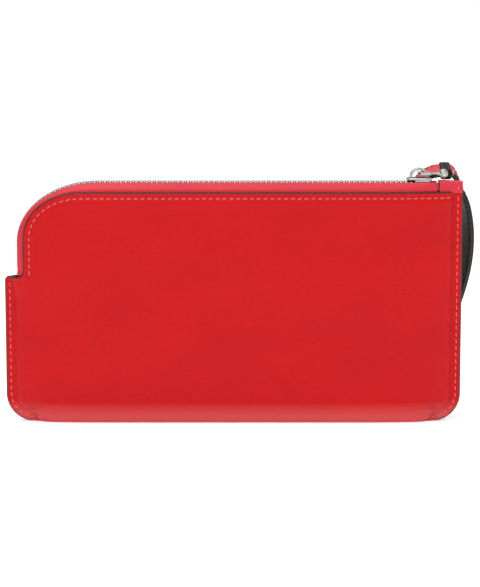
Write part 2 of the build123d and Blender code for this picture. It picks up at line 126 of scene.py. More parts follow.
# ---- the wallet's walls as a formula -------------------------------------------------------------
def left_edge(z):
    """The wall outline's left end at height z."""
    if z < CORNER_RADIUS:
        return -HALF_WIDTH + CORNER_RADIUS - math.sqrt(CORNER_RADIUS ** 2 - (CORNER_RADIUS - z) ** 2)
    if z < STEP_Z - STEP_ROUND:
        return -HALF_WIDTH
    if z < STEP_Z:
        rise = z - STEP_Z + STEP_ROUND
        return -HALF_WIDTH + STEP_ROUND - math.sqrt(max(0.0, STEP_ROUND ** 2 - rise ** 2))
    if z < STEP_Z + STEP_FILLET:
        drop = STEP_Z + STEP_FILLET - z
        return LEFT_EDGE_X - STEP_FILLET + math.sqrt(max(0.0, STEP_FILLET ** 2 - drop ** 2))
    if z < WALL_CORNER_Z:
        return LEFT_EDGE_X
    share = min(1.0, (z - WALL_CORNER_Z) / (WALL_TOP - WALL_CORNER_Z))
    return WALL_CORNER_X - (WALL_CORNER_X - LEFT_EDGE_X) * math.sqrt(1 - share ** 2)


def right_edge(z):
    """The wall outline's right end at height z."""
    if z < CORNER_RADIUS:
        return HALF_WIDTH - CORNER_RADIUS + math.sqrt(CORNER_RADIUS ** 2 - (CORNER_RADIUS - z) ** 2)
    return HALF_WIDTH


def corner_gap(x, z, tuck=1.0):
    """Distance in from the sides and rounded bottom corners. tuck draws in the ends of the fold."""
    beyond = np.abs(x) - (HALF_WIDTH - CORNER_RADIUS)
    below = CORNER_RADIUS - z
    in_arc = CORNER_RADIUS - np.hypot(beyond, below)
    to_end = tuck * np.hypot(beyond, z)
    straight = HALF_WIDTH - np.abs(x)
    near_corner = np.where(beyond > 0, in_arc, np.minimum(straight, to_end))
    return np.where(below > 0, near_corner, straight)


def seam_gap(x, z):
    """Distance in from the sewn sides. Above the step the left side counts as further in."""
    extra = 2.0 * smooth(STEP_LOW_Z, STEP_HIGH_Z, z) * (x < 0)
    return corner_gap(x, z, FOLD_END_TUCK) + extra


def corner_ellipse_gap(x, z):
    """Distance in from the rounded zip corner, large elsewhere."""
    rx = WALL_CORNER_X - LEFT_EDGE_X
    rz = WALL_TOP - WALL_CORNER_Z
    dx = np.minimum(x - WALL_CORNER_X, -TINY)
    dz = np.maximum(z - WALL_CORNER_Z, TINY)
    size = np.sqrt((dx / rx) ** 2 + (dz / rz) ** 2)
    slope = np.sqrt((dx / rx ** 2) ** 2 + (dz / rz ** 2) ** 2) / size
    gap = (1 - size) / slope
    return np.where((x < WALL_CORNER_X) & (z > WALL_CORNER_Z), gap, FAR)


def mouth_gap(x, z):
    """Distance in from the edges along the zip: top, rounded corner and left side above the step."""
    top = np.where(x >= WALL_CORNER_X, WALL_TOP - z, FAR)
    left = np.where((z <= WALL_CORNER_Z) & (z > STEP_Z + STEP_FILLET), x - LEFT_EDGE_X, FAR)
    low = (z <= STEP_Z + STEP_FILLET) & (x > LEFT_EDGE_X - STEP_FILLET)
    fillet = np.hypot(x - LEFT_EDGE_X + STEP_FILLET, z - STEP_Z - STEP_FILLET) - STEP_FILLET
    step = np.where(low, fillet, FAR)
    return np.minimum(np.minimum(top, left), np.minimum(step, corner_ellipse_gap(x, z)))


def side_gap(x, z):
    """Distance in from the raw sewn edges: the two sides, their corners and the step's ledge."""
    left_above = (x < 0) & (z > STEP_Z)
    gap = np.where(left_above, FAR, corner_gap(x, z))
    on_ledge = (x < LEFT_EDGE_X - STEP_FILLET) & (z <= STEP_Z)
    return np.where(on_ledge, np.minimum(gap, STEP_Z - z), gap)


def swell(x, z):
    """0 on the flat seam and 1 at full thickness. Below it rises softly, and beside the zip at once."""
    share = np.clip((seam_gap(x, z) - SEAM_WIDTH) / SWELL_RUN, 0.0, 1.0)
    soft = np.sin(math.pi / 2 * share ** SOFT_POWER)
    full = (1 - (1 - share) ** FULL_POWER) ** (1 / FULL_POWER)
    open_mouth = np.where(x < 0, smooth(46, 64, z), smooth(50, 88, z))
    return soft + (full - soft) * open_mouth


def wall_half(x, z, profile):
    """Distance from the middle plane to the wall's outer face, for a profile half thickness."""
    flat = np.minimum(profile, SEAM_HALF)
    return flat + (profile - flat) * swell(x, z)


def profile_at(z):
    """Half thickness of the middle of the wallet at height z above the fold."""
    narrowing = HALF_THICK - MOUTH_HALF
    lean = narrowing * smooth(LEAN_START_Z, LEAN_END_Z, z) * 1.35
    share = np.clip(1 - z / FOLD_HEIGHT, 0.0, 1.0)
    fold = FOLD_FLAT + (HALF_THICK - FOLD_FLAT) * np.sqrt(1 - share ** 2)
    return np.minimum(fold, HALF_THICK) - np.minimum(lean, narrowing)


def edge_half(x, z):
    """Distance from the middle plane to the wall's inner face along the zip."""
    return wall_half(x, z, profile_at(z)) - LEATHER


def ripple(x, z, side):
    """Gentle unevenness of the leather, nothing at the edges."""
    values = np.empty_like(x)
    flat_x, flat_z = x.ravel(), z.ravel()
    for index, (px, pz) in enumerate(zip(flat_x, flat_z)):
        values.ravel()[index] = noise.noise(Vector((px / RIPPLE_WIDE, side * 7.3, pz / RIPPLE_HIGH)))
    return values * RIPPLE_HEIGHT


# ---- meshes --------------------------------------------------------------------------------------
def add_mesh(name, vertices, faces, materials, face_materials=None):
    """A smooth shaded mesh object from millimetre points."""
    mesh = bpy.data.meshes.new(name)
    points = np.asarray(vertices, float) * MM
    mesh.from_pydata(points.tolist(), [], [list(face) for face in faces])
    for material in materials:
        mesh.materials.append(material)
    if face_materials is not None:
        mesh.polygons.foreach_set("material_index", np.asarray(face_materials, np.int32))
    mesh.polygons.foreach_set("use_smooth", np.ones(len(mesh.polygons), bool))
    mesh.validate()
    mesh.update()
    obj = bpy.data.objects.new(name, mesh)
    bpy.context.collection.objects.link(obj)
    return obj


def grid_faces(rows, columns, start=0, flip=False, close_columns=False):
    """Quads over a grid of points stored row by row."""
    faces = []
    last = columns if close_columns else columns - 1
    for row in range(rows - 1):
        for column in range(last):
            a = start + row * columns + column
            b = start + row * columns + (column + 1) % columns
            c, d = b + columns, a + columns
            faces.append((a, d, c, b) if flip else (a, b, c, d))
    return faces


def tube_faces(rings, around, flip=False):
    """Quads round a tube of rings, and a cap at each end."""
    faces = grid_faces(rings, around, flip=flip, close_columns=True)
    start_cap = tuple(range(around))
    end_cap = tuple(range((rings - 1) * around, rings * around))
    faces.append(start_cap if flip else start_cap[::-1])
    faces.append(end_cap[::-1] if flip else end_cap)
    return faces


def shell_faces(rows, columns):
    """Faces of a thin shell of two grids, one after the other, and how many are on its broad sides."""
    shift = rows * columns
    faces = grid_faces(rows, columns) + grid_faces(rows, columns, start=shift, flip=True)
    broad = len(faces)
    for row in range(rows - 1):
        for column in (0, columns - 1):
            a = row * columns + column
            face = (a, a + columns, a + columns + shift, a + shift)
            faces.append(face if column == 0 else face[::-1])
    for row in (0, rows - 1):
        for column in range(columns - 1):
            a = row * columns + column
            face = (a, a + 1, a + 1 + shift, a + shift)
            faces.append(face[::-1] if row == 0 else face)
    return faces, broad


def merge_shapes(shapes):
    """One list of points and one of faces from several shapes."""
    points, faces = [], []
    for more, more_faces in shapes:
        start = len(points)
        points += list(more)
        faces += [tuple(start + corner for corner in face) for face in more_faces]
    return points, faces


def sheet_rows():
    """Profile half thickness and height of each row, from the fold's middle to the wall's top."""
    rows = [(half, 0.0) for half in (0.0, 0.8, 1.4, 2.2, 3.0, 3.8)]
    for step in range(17):
        turn = math.pi / 2 * step / 16
        half = FOLD_FLAT + (HALF_THICK - FOLD_FLAT) * math.sin(turn)
        rows.append((half, FOLD_HEIGHT * (1 - math.cos(turn))))
    corner_rise = WALL_TOP - WALL_CORNER_Z
    step_cuts = (1.6, 1.0, 0.7, 0.45, 0.25, 0.1, 0.02)
    top_cuts = (4.6, 4.2, 3.9, 3.6, 3.35, 3.1, 2.85, 2.6, 2.35, 2.1, 1.6, 1.1, 0.7, 0.4, 0.25, 0.12, 0.04)
    heights = list(np.arange(FOLD_HEIGHT + 1.2, STEP_Z - STEP_ROUND - 1.5, 1.4))
    heights += [STEP_Z - STEP_ROUND * cut for cut in step_cuts]
    heights += [STEP_Z + STEP_FILLET * (1 - math.cos(math.pi / 2 * step / 8)) + 0.03 for step in range(9)]
    heights += list(np.arange(STEP_Z + STEP_FILLET + 1.2, WALL_CORNER_Z - 0.5, 1.3))
    heights += [WALL_CORNER_Z + corner_rise * math.sin(math.pi / 2 * step / 22) for step in range(23)]
    heights += [WALL_TOP - cut for cut in top_cuts]
    kept = []
    for height in sorted(heights):
        if not kept or height - kept[-1] > 0.05:
            kept.append(float(height))
    rows += [(float(profile_at(np.array(height))), height) for height in kept]
    return rows


def column_places(left, right):
    """X places of the columns between two ends, close together near both ends."""
    near_end = (0.0, 0.1, 0.25, 0.45, 0.8, 1.15, 1.5, 1.8, 2.1, 2.4, 2.75, 3.15, 3.6, 4.1, 4.7, 5.5,
                6.6, 8.0, 10.0, 12.5, 15.5)
    scale = min(1.0, (right - left) / 60.0)
    cuts = [cut * scale for cut in near_end]
    inner = np.linspace(left + cuts[-1], right - cuts[-1], 96)
    low = [left + cut for cut in cuts[:-1]]
    high = [right - cut for cut in reversed(cuts[:-1])]
    return np.concatenate([low, inner, high])


def relief(x, z):
    """How far the outer face stands in from the plain wall: rounded raw edges and stitch grooves."""
    edge = np.minimum(side_gap(x, z), mouth_gap(x, z))
    short = np.clip(EDGE_ROUND - edge, 0.0, EDGE_ROUND)
    rounded = EDGE_ROUND - np.sqrt(np.maximum(EDGE_ROUND ** 2 - short ** 2, 0.0))
    groove = np.exp(-((side_gap(x, z) - SIDE_STITCH_IN) / GROOVE_WIDTH) ** 2)
    groove = np.maximum(groove, np.exp(-((mouth_gap(x, z) - TOP_STITCH_IN) / GROOVE_WIDTH) ** 2))
    puff = np.exp(-((mouth_gap(x, z) - TOP_STITCH_IN - PUFF_PAST_STITCH) / PUFF_WIDTH) ** 2) * PUFF_HEIGHT
    return rounded + GROOVE_DEPTH * groove - puff


def outer_point_y(x, z, profile, side):
    """The outer face of the leather with its relief, as a distance from the middle plane."""
    half = wall_half(x, z, profile)
    calm = smooth(3.0, 22.0, np.minimum(side_gap(x, z), mouth_gap(x, z))) * smooth(2, 20, z)
    shape = half - relief(x, z) * smooth(0.6, 3.0, profile)
    return shape + (ripple(x, z, side) - 0.12) * calm


def build_outer_leather(leather, edge_paint):
    """One folded sheet: back wall, fold and front wall, with painted raw edges."""
    rows = sheet_rows()
    outer, inner = [], []
    order = [(-1, row) for row in reversed(rows)] + [(1, row) for row in rows[1:]]
    for side, (profile, height) in order:
        x = column_places(left_edge(height), right_edge(height))
        z = np.full_like(x, height)
        half = outer_point_y(x, z, np.full_like(x, profile), side)
        outer.append(np.stack([x, side * half, z], 1))
        thick = np.minimum(LEATHER, np.maximum(half - 0.02, 0.0)) if height > 0 else np.zeros_like(x)
        lift = LEATHER * (1 - smooth(0.0, FOLD_HEIGHT, z)) if height < FOLD_HEIGHT else 0 * z
        lift = np.minimum(lift, LEATHER) * smooth(0.3, 4.0, side_gap(x, z))
        inner.append(np.stack([x, side * np.maximum(half - thick, 0.01), z + lift], 1))
    points = np.concatenate(outer + inner)
    faces, broad = shell_faces(len(order), len(outer[0]))
    kinds = [0] * broad + [1] * (len(faces) - broad)
    rim = paint_rim(points, faces, kinds)
    return add_mesh("outer_leather_sheet", points, faces, [leather, edge_paint], rim)


def paint_rim(points, faces, kinds):
    """The edge paint also covers the rounded corner of the outer face beside each raw edge."""
    centres = np.array([points[list(face)].mean(0) for face in faces])
    x, z = centres[:, 0], centres[:, 2]
    edge = np.minimum(side_gap(x, z), mouth_gap(x, z) + 0.05)
    painted = np.array(kinds)
    on_outside = np.array([face[0] < len(points) // 2 for face in faces])
    on_wall = np.abs(centres[:, 1]) > 0.9
    painted[(edge < 0.5) & on_outside & on_wall & (z > 0.4)] = 1
    return painted


def mouth_weight(x, z):
    """How far a point of the back wall follows the opening mouth, 0 to 1."""
    share = np.clip((x - MOUTH_LEFT_X) / (MOUTH_RIGHT_X - MOUTH_LEFT_X), 0.0, 1.0)
    across = np.sin(math.pi * share) ** 1.4
    return across * smooth(HINGE_Z - 12, HINGE_Z + 26, z)


def bend_with_mouth(piece, back_only=False):
    """Bake a piece's transform and weigh its points, most in the middle of the mouth; the weights are not
    applied.
    """
    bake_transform(piece)
    count = len(piece.data.vertices)
    places = np.empty(count * 3)
    piece.data.vertices.foreach_get("co", places)
    places = places.reshape(-1, 3) / MM
    weights = mouth_weight(places[:, 0], places[:, 2])
    if back_only:
        weights = np.where(places[:, 1] < 0, weights, 0.0)


# ---- the zip's rail ------------------------------------------------------------------------------
def edge_inside(ridge):
    """The wall's edge inside a point of the ridge: straight below, straight across or on the corner."""
    x, z = ridge
    if x >= WALL_CORNER_X:
        return (x, WALL_TOP)
    if z <= WALL_CORNER_Z:
        return (LEFT_EDGE_X, z)
    away_x = x - WALL_CORNER_X
    away_z = z - WALL_CORNER_Z
    size = math.hypot(away_x / (WALL_CORNER_X - LEFT_EDGE_X), away_z / (WALL_TOP - WALL_CORNER_Z))
    return (WALL_CORNER_X + away_x / size, WALL_CORNER_Z + away_z / size)


def ridge_corner(turn):
    """A point of the ridge on the rounded corner, turn being 90 to 180 degrees in radians."""
    return (CORNER_X + (CORNER_X - LEFT_EDGE_X + RIDGE_REACH) * math.cos(turn),
            CORNER_Z + (WALL_TOP + RIDGE_RISE - CORNER_Z) * math.sin(turn))


def rail_stations(right_x, foot_z):
    """Pairs of wall edge and ridge along the zip, from its right end to its foot."""
    stations = []
    for x in np.arange(right_x, CORNER_X, -RAIL_STEP):
        stations.append(((x, WALL_TOP), (x, WALL_TOP + RIDGE_RISE)))
    for turn in np.radians(np.arange(90, 180, 1.5)):
        ridge = ridge_corner(turn)
        stations.append((edge_inside(ridge), ridge))
    for z in list(np.arange(CORNER_Z, foot_z, -RAIL_STEP)) + [foot_z]:
        stations.append(((LEFT_EDGE_X, z), (LEFT_EDGE_X - RIDGE_REACH, z)))
    return stations


def rail_point(station, up, y):
    """A point this far above the wall's edge, towards the ridge."""
    edge, ridge = station
    rise = math.dist(edge, ridge)
    out = ((ridge[0] - edge[0]) / rise, (ridge[1] - edge[1]) / rise)
    return (edge[0] + out[0] * up, y, edge[1] + out[1] * up)


def sweep_band(name, stations, section, side, materials):
    """A closed band along the rail. section gives (height, y) points round the band."""
    points = []
    for station in stations:
        for up, y in section(station):
            points.append(rail_point(station, up, side * y))
    faces = tube_faces(len(stations), len(section(stations[0])), flip=side > 0)
    return add_mesh(name, points, faces, materials)


def strip_section(station):
    """The gusset strip: tucked inside the wall, then arched up to a turned edge beside the zip."""
    edge, ridge = station
    wall = float(edge_half(np.array(edge[0]), np.array(edge[1]))) - STRIP_CLEARANCE
    lip = math.dist(edge, ridge) - STRIP_SHORT_OF_RIDGE
    top = min(STRIP_TOP_Y, wall - 0.15)
    outside = []
    for step in range(9):
        share = step / 8
        up = -0.3 + (lip + 0.05) * share
        y = wall + (top - wall) * share ** 1.25 + STRIP_BOW * math.sin(math.pi * share)
        outside.append((up, y - 0.12 * (share == 0)))
    crown = [(lip + 0.05, top - 0.12), (lip + 0.12, top - STRIP * 0.5), (lip + 0.02, top - STRIP + 0.08)]
    inside = [(up, y - STRIP) for up, y in reversed(outside[:-1])]
    low = [(-STRIP_TUCK, wall - STRIP), (-STRIP_TUCK, wall)]
    return outside + crown + inside + low


def tape_section(station):
    """The woven tape from under the teeth to the strip's inner face."""
    edge, ridge = station
    inside = float(edge_half(np.array(edge[0]), np.array(edge[1]))) - 0.2
    top = min(STRIP_TOP_Y, inside) - STRIP
    high = math.dist(edge, ridge) - TAPE_DEPTH
    return [(high - 0.5, 1.2), (high, 1.2), (high + 0.05, 2.4), (high, top + 0.1), (high - 0.5, top + 0.1)]


def ridge_length_table():
    """Points along the ridge from the teeth's right end, and the length up to each of them."""
    points = [(TEETH_RIGHT_X, WALL_TOP + RIDGE_RISE)]
    points += [ridge_corner(turn) for turn in np.radians(np.arange(90, 180.01, 0.5))]
    points.append((LEFT_EDGE_X - RIDGE_REACH, ZIP_FOOT_Z + TOOTH_HEIGHT))
    points = np.array(points)
    lengths = np.concatenate([[0], np.cumsum(np.hypot(*np.diff(points, axis=0).T))])
    return points, lengths


def tooth_mesh():
    """One metal tooth: a clamp on the tape, a neck and a rounded head. X is along the zip."""
    profile = [(-1.0, -1.75), (-1.12, -1.0), (-1.05, -0.45), (-0.75, -0.12), (-0.35, 0.0), (0.5, 0.0),
               (1.5, -0.02), (2.1, -0.2), (2.4, -0.6), (2.4, -1.9), (2.1, -2.25), (0.6, -2.25), (-0.5, -2.2)]
    half, soft = 0.47, 0.12
    middle_y, middle_z = 0.6, -1.1
    solid = bmesh.new()
    rings = []
    for x, inset in ((-half, 0.16), (soft - half, 0.03), (0, 0.0), (half - soft, 0.03), (half, 0.16)):
        ring = []
        for y, z in profile:
            shrink = 1 - inset / math.hypot(y - middle_y, z - middle_z)
            spot = (x, middle_y + (y - middle_y) * shrink, middle_z + (z - middle_z) * shrink)
            ring.append(solid.verts.new(spot))
        rings.append(ring)
    for first, second in zip(rings, rings[1:]):
        bridge(solid, first, second)
    solid.faces.new(rings[0][::-1])
    solid.faces.new(rings[-1])
    bmesh.ops.recalc_face_normals(solid, faces=solid.faces)
    return take_mesh(solid)


def build_teeth(side, material):
    """One row of teeth along the ridge, half a pitch from the other row."""
    path, lengths = ridge_length_table()
    base, faces = tooth_mesh()
    base = np.array(base)
    if side > 0:
        faces = [face[::-1] for face in faces]
    offset = 0.25 if side > 0 else 0.75
    teeth = []
    for index in range(int(lengths[-1] / TOOTH_PITCH)):
        along = (index + offset) * TOOTH_PITCH
        span = int(np.searchsorted(lengths, along)) - 1
        share = (along - lengths[span]) / (lengths[span + 1] - lengths[span])
        spot = path[span] + (path[span + 1] - path[span]) * share
        way = (path[span + 1] - path[span]) / (lengths[span + 1] - lengths[span])
        out = np.array([way[1], -way[0]])
        tooth = np.empty_like(base)
        tooth[:, 0] = spot[0] + base[:, 0] * way[0] + base[:, 2] * out[0]
        tooth[:, 1] = side * base[:, 1]
        tooth[:, 2] = spot[1] + base[:, 0] * way[1] + base[:, 2] * out[1]
        teeth.append((tooth, faces))
    name = "zip_teeth_row_front" if side > 0 else "zip_teeth_row_back"
    return add_mesh(name, *merge_shapes(teeth), [material])


# ---- stitches ------------------------------------------------------------------------------------
# Pitch, length and thread radius of each kind of stitch.
WALL_STITCH = (STITCH_PITCH, 2.15, 0.23)
STRAP_STITCH = (STITCH_PITCH * 0.9, 1.9, 0.19)
KEEPER_STITCH = (2.2, 1.5, 0.17)
TAB_STITCH = (2.2, 1.9, 0.24)


def capsule(start, end, normal, radius):
    """A short piece of thread: a rod with rounded ends that dips into the leather at both ends."""
    rings, around = 7, 8
    along = end - start
    length = np.linalg.norm(along)
    along = along / length
    cross = np.cross(normal, along)
    points = []
    for ring in range(rings):
        share = ring / (rings - 1)
        fat = math.sqrt(max(0.0, 1 - (2 * share - 1) ** 4)) * 0.9 + 0.1
        dip = -radius * 1.3 * (2 * share - 1) ** 4
        centre = start + along * length * share + normal * (dip + radius * 0.45)
        for step in range(around):
            turn = 2 * math.pi * step / around
            points.append(centre + radius * fat * (math.cos(turn) * cross + math.sin(turn) * normal))
    return points, tube_faces(rings, around)


def stitch_run(path, pitch, length, radius, slant=0.0):
    """Stitches along a path of (point, normal) pairs, evenly spaced along its length."""
    spots = np.array([point for point, _ in path])
    normals = np.array([normal for _, normal in path])
    lengths = np.concatenate([[0], np.cumsum(np.linalg.norm(np.diff(spots, axis=0), axis=1))])
    count = int(lengths[-1] / pitch)
    stitches = []
    for index in range(count):
        middle = (index + 0.5) * lengths[-1] / count
        ends = []
        for place in (middle - length / 2, middle + length / 2):
            ends.append(np.array([np.interp(place, lengths, spots[:, axis]) for axis in range(3)]))
        normal = np.array([np.interp(middle, lengths, normals[:, axis]) for axis in range(3)])
        normal /= np.linalg.norm(normal)
        tilt = np.cross(normal, ends[1] - ends[0])
        tilt *= slant / np.linalg.norm(tilt)
        stitches.append(capsule(ends[0] - tilt, ends[1] + tilt, normal, radius))
    return merge_shapes(stitches)


def wall_spot(x, z, side):
    """A point on the leather's outer face and the direction out of it."""
    def height(px, pz):
        spot_x, spot_z = np.array([px]), np.array([pz])
        return float(outer_point_y(spot_x, spot_z, profile_at(spot_z), side)[0])
    near = 0.3
    slope_x = (height(x + near, z) - height(x - near, z)) / (2 * near)
    slope_z = (height(x, z + near) - height(x, z - near)) / (2 * near)
    normal = np.array([-slope_x, side, -slope_z])
    return np.array([x, side * height(x, z), z]), normal / np.linalg.norm(normal)


def side_stitch_path(hand):
    """The line beside a sewn side, from its top down round the corner to the fold."""
    reach = HALF_WIDTH - SIDE_STITCH_IN
    radius = CORNER_RADIUS - SIDE_STITCH_IN
    top = WALL_TOP - 1.6 if hand > 0 else STEP_Z - SIDE_STITCH_IN
    places = [(hand * reach, z) for z in np.arange(top, CORNER_RADIUS, -1.0)]
    for turn in np.radians(np.arange(0, 90, 5)):
        across = HALF_WIDTH - CORNER_RADIUS + radius * math.cos(turn)
        places.append((hand * across, CORNER_RADIUS - radius * math.sin(turn)))
    places.append((hand * (HALF_WIDTH - CORNER_RADIUS - 3.2), SIDE_STITCH_IN))
    return places


def top_stitch_path():
    """The line beside the zip's edge, from the right end to the step."""
    rx = WALL_CORNER_X - LEFT_EDGE_X - TOP_STITCH_IN
    rz = WALL_TOP - WALL_CORNER_Z - TOP_STITCH_IN
    places = [(x, WALL_TOP - TOP_STITCH_IN) for x in np.arange(HALF_WIDTH - 5.0, WALL_CORNER_X, -2.0)]
    for turn in np.radians(np.arange(90, 181, 4)):
        places.append((WALL_CORNER_X + rx * math.cos(turn), WALL_CORNER_Z + rz * math.sin(turn)))
    places += [(LEFT_EDGE_X + TOP_STITCH_IN, z) for z in (72.0, 68.0, 64.5, 62.0)]
    return places


def build_wall_stitches(thread):
    """All the sewing that shows on the two walls, as (object, side, name)."""
    lines = {"right": side_stitch_path(1), "left": side_stitch_path(-1), "top": top_stitch_path()}
    made = []
    for side, wall in ((-1, "back"), (1, "front")):
        for name, places in lines.items():
            path = [wall_spot(x, z, side) for x, z in places]
            run = stitch_run(path, *WALL_STITCH, slant=0.1)
            made.append((add_mesh(f"stitches_{name}_{wall}", *run, [thread]), side, name))
    return made


# ---- bevelled metal and leather blocks -----------------------------------------------------------
def along_axis(axis, a, b, depth):
    """A point of an outline placed at a depth along an axis."""
    return {"Z": (a, b, depth), "Y": (a, depth, b), "X": (depth, a, b)}[axis]


def bridge(solid, first, second):
    """Quads between two closed loops of the same number of points."""
    for index in range(len(first)):
        following = (index + 1) % len(first)
        solid.faces.new((first[index], first[following], second[following], second[index]))


def take_mesh(solid):
    """The points and faces of a bmesh, which is then freed."""
    solid.verts.index_update()
    points = [tuple(vert.co) for vert in solid.verts]
    faces = [[vert.index for vert in face.verts] for face in solid.faces]
    solid.free()
    return points, faces


def bevelled(solid, bevel, segments, sharp_angle):
    """The points and faces of a bmesh once its sharp edges are rounded."""
    bmesh.ops.recalc_face_normals(solid, faces=solid.faces)
    rims = [edge for edge in solid.edges if edge.calc_face_angle(0) > sharp_angle]
    bmesh.ops.bevel(solid, geom=rims, offset=bevel, segments=segments, profile=0.5, affect="EDGES",
                    clamp_overlap=True)
    return take_mesh(solid)


def prism(outline, low, high, axis, bevel, segments=3):
    """A bevelled prism as points and faces. axis is the direction it is extruded along."""
    solid = bmesh.new()
    lower = [solid.verts.new(along_axis(axis, a, b, low)) for a, b in outline]
    upper = [solid.verts.new(along_axis(axis, a, b, high)) for a, b in outline]
    solid.faces.new(lower)
    solid.faces.new(upper)
    bridge(solid, lower, upper)
    return bevelled(solid, bevel, segments, 0.6)


def ring_prism(outer, inner, low, high, axis, bevel):
    """A bevelled prism with a hole. outer and inner have the same number of points."""
    solid = bmesh.new()
    loops = []
    for outline, depth in ((outer, low), (outer, high), (inner, high), (inner, low)):
        loops.append([solid.verts.new(along_axis(axis, a, b, depth)) for a, b in outline])
    for first, second in zip(loops, loops[1:] + loops[:1]):
        bridge(solid, first, second)
    return bevelled(solid, bevel, 3, 0.9)


def join_shapes(name, shapes, material):
    """One object from several closed shapes, with crisp edges."""
    obj = add_mesh(name, *merge_shapes(shapes), [material])
    crisp = obj.modifiers.new("edges", "WEIGHTED_NORMAL")
    crisp.keep_sharp = True
    return obj


def circle(centre, radius, count=32, start=0.0, sweep=2 * math.pi):
    """Points round a circle or an arc."""
    whole = abs(sweep - 2 * math.pi) < TINY
    steps = count if whole else count - 1
    return [(centre[0] + radius * math.cos(start + sweep * index / steps),
             centre[1] + radius * math.sin(start + sweep * index / steps)) for index in range(count)]


def rounded_box_outline(low, high, radius, per_corner=6):
    """A rectangle with rounded corners."""
    points = []
    corners = ((high[0], high[1], 0), (low[0], high[1], 90), (low[0], low[1], 180), (high[0], low[1], 270))
    for x, z, angle in corners:
        centre_x = x - math.copysign(radius, x - (low[0] + high[0]) / 2)
        centre_z = z - math.copysign(radius, z - (low[1] + high[1]) / 2)
        points += circle((centre_x, centre_z), radius, per_corner, math.radians(angle), math.pi / 2)
    return points


# ---- slider, pull and link -----------------------------------------------------------------------
RIDGE_Z = WALL_TOP + RIDGE_RISE
SLIDER_LOW, SLIDER_HIGH = node_box("slider_body")
CROWN_LOW, CROWN_HIGH = node_box("slider_crown")
PULL_LOW, PULL_HIGH = node_box("pull_tab")
PIVOT_Z = (PULL_LOW[2] + PULL_HIGH[2]) / 2
SLIDER_X = (SLIDER_LOW[0] + SLIDER_HIGH[0]) / 2
EYE_RADIUS = (PULL_HIGH[2] - PULL_LOW[2]) / 2
EYE_X = PULL_HIGH[0] - EYE_RADIUS
PULL_HALF = 0.7
SWIVEL_Y = 3.2
PLATE = 1.0


def slider_plan(shrink=0.0):
    """The plates' outline: a rounded heel at the left and two shoulders at the right."""
    half = SLIDER_HIGH[1] - shrink
    left, right = SLIDER_LOW[0] + shrink, SLIDER_HIGH[0] - shrink
    nose = [(right - 0.1, 0.5), (right, 1.2), (right - 0.2, half - 0.35), (right - 0.9, half),
            (right - 2.6, half - 0.05), (left + 3.4, half * 0.86), (left + 1.3, half * 0.8),
            (left + 0.4, half * 0.58), (left, half * 0.25)]
    return nose + [(x, -y) for x, y in reversed(nose)]


def build_slider(metal):
    """Two plates with flanges on their long sides and a wedge between them."""
    low_top = SLIDER_LOW[2] + PLATE
    high_foot = SLIDER_HIGH[2] - PLATE
    shapes = [prism(slider_plan(), high_foot, SLIDER_HIGH[2], "Z", 0.32, 4),
              prism(slider_plan(0.1), SLIDER_LOW[2], low_top, "Z", 0.3, 3)]
    tape_z = RIDGE_Z - TAPE_DEPTH - 0.25
    half_slot = 0.55
    for side in (-1, 1):
        inner = sorted((side * (SLIDER_HIGH[1] - 0.55), side * (SLIDER_HIGH[1] - 0.06)))
        left, right = SLIDER_LOW[0] + 3.4, SLIDER_HIGH[0] - 0.8
        rail = rounded_box_outline((left, inner[0]), (right, inner[1]), 0.2, 3)
        shapes.append(prism(rail, tape_z + half_slot, high_foot + 0.3, "Z", 0.12, 2))
        shapes.append(prism(rail, low_top - 0.3, tape_z - half_slot, "Z", 0.12, 2))
    half_wedge = [(SLIDER_HIGH[0] - 3.2, 0.05), (SLIDER_HIGH[0] - 1.6, 0.85), (SLIDER_HIGH[0] - 0.7, 0.85)]
    wedge = half_wedge + [(x, -y) for x, y in reversed(half_wedge)]
    shapes.append(prism(wedge, low_top - 0.2, high_foot + 0.2, "Z", 0.1, 2))
    return join_shapes("slider_plates", shapes, metal)


def build_crown(metal):
    """The arched crown, thicker at its feet, with rounded edges."""
    base = CROWN_LOW[2] - 0.15
    reach = (CROWN_HIGH[0] - CROWN_LOW[0]) / 2
    height = CROWN_HIGH[2] - base
    foot, roof, squareness = 1.15, 0.95, 0.85
    outer, inner = [], []
    for turn in np.linspace(0, math.pi, 26):
        rise = math.sin(turn) ** squareness
        outer.append((SLIDER_X + reach * math.cos(turn), base + height * rise))
        inner.append((SLIDER_X + (reach - foot) * math.cos(turn), base + (height - roof) * rise))
    body = prism(outer + inner[::-1], CROWN_LOW[1], CROWN_HIGH[1], "Y", 0.26, 3)
    return join_shapes("slider_crown_arch", [body], metal)


def build_spring(metal):
    """The flat lock spring under the crown."""
    low, high = node_box("slider_lock_spring")
    outline = rounded_box_outline((low[0], low[1]), (high[0], high[1]), 0.3)
    return join_shapes("slider_spring", [prism(outline, low[2], high[2], "Z", 0.08, 2)], metal)


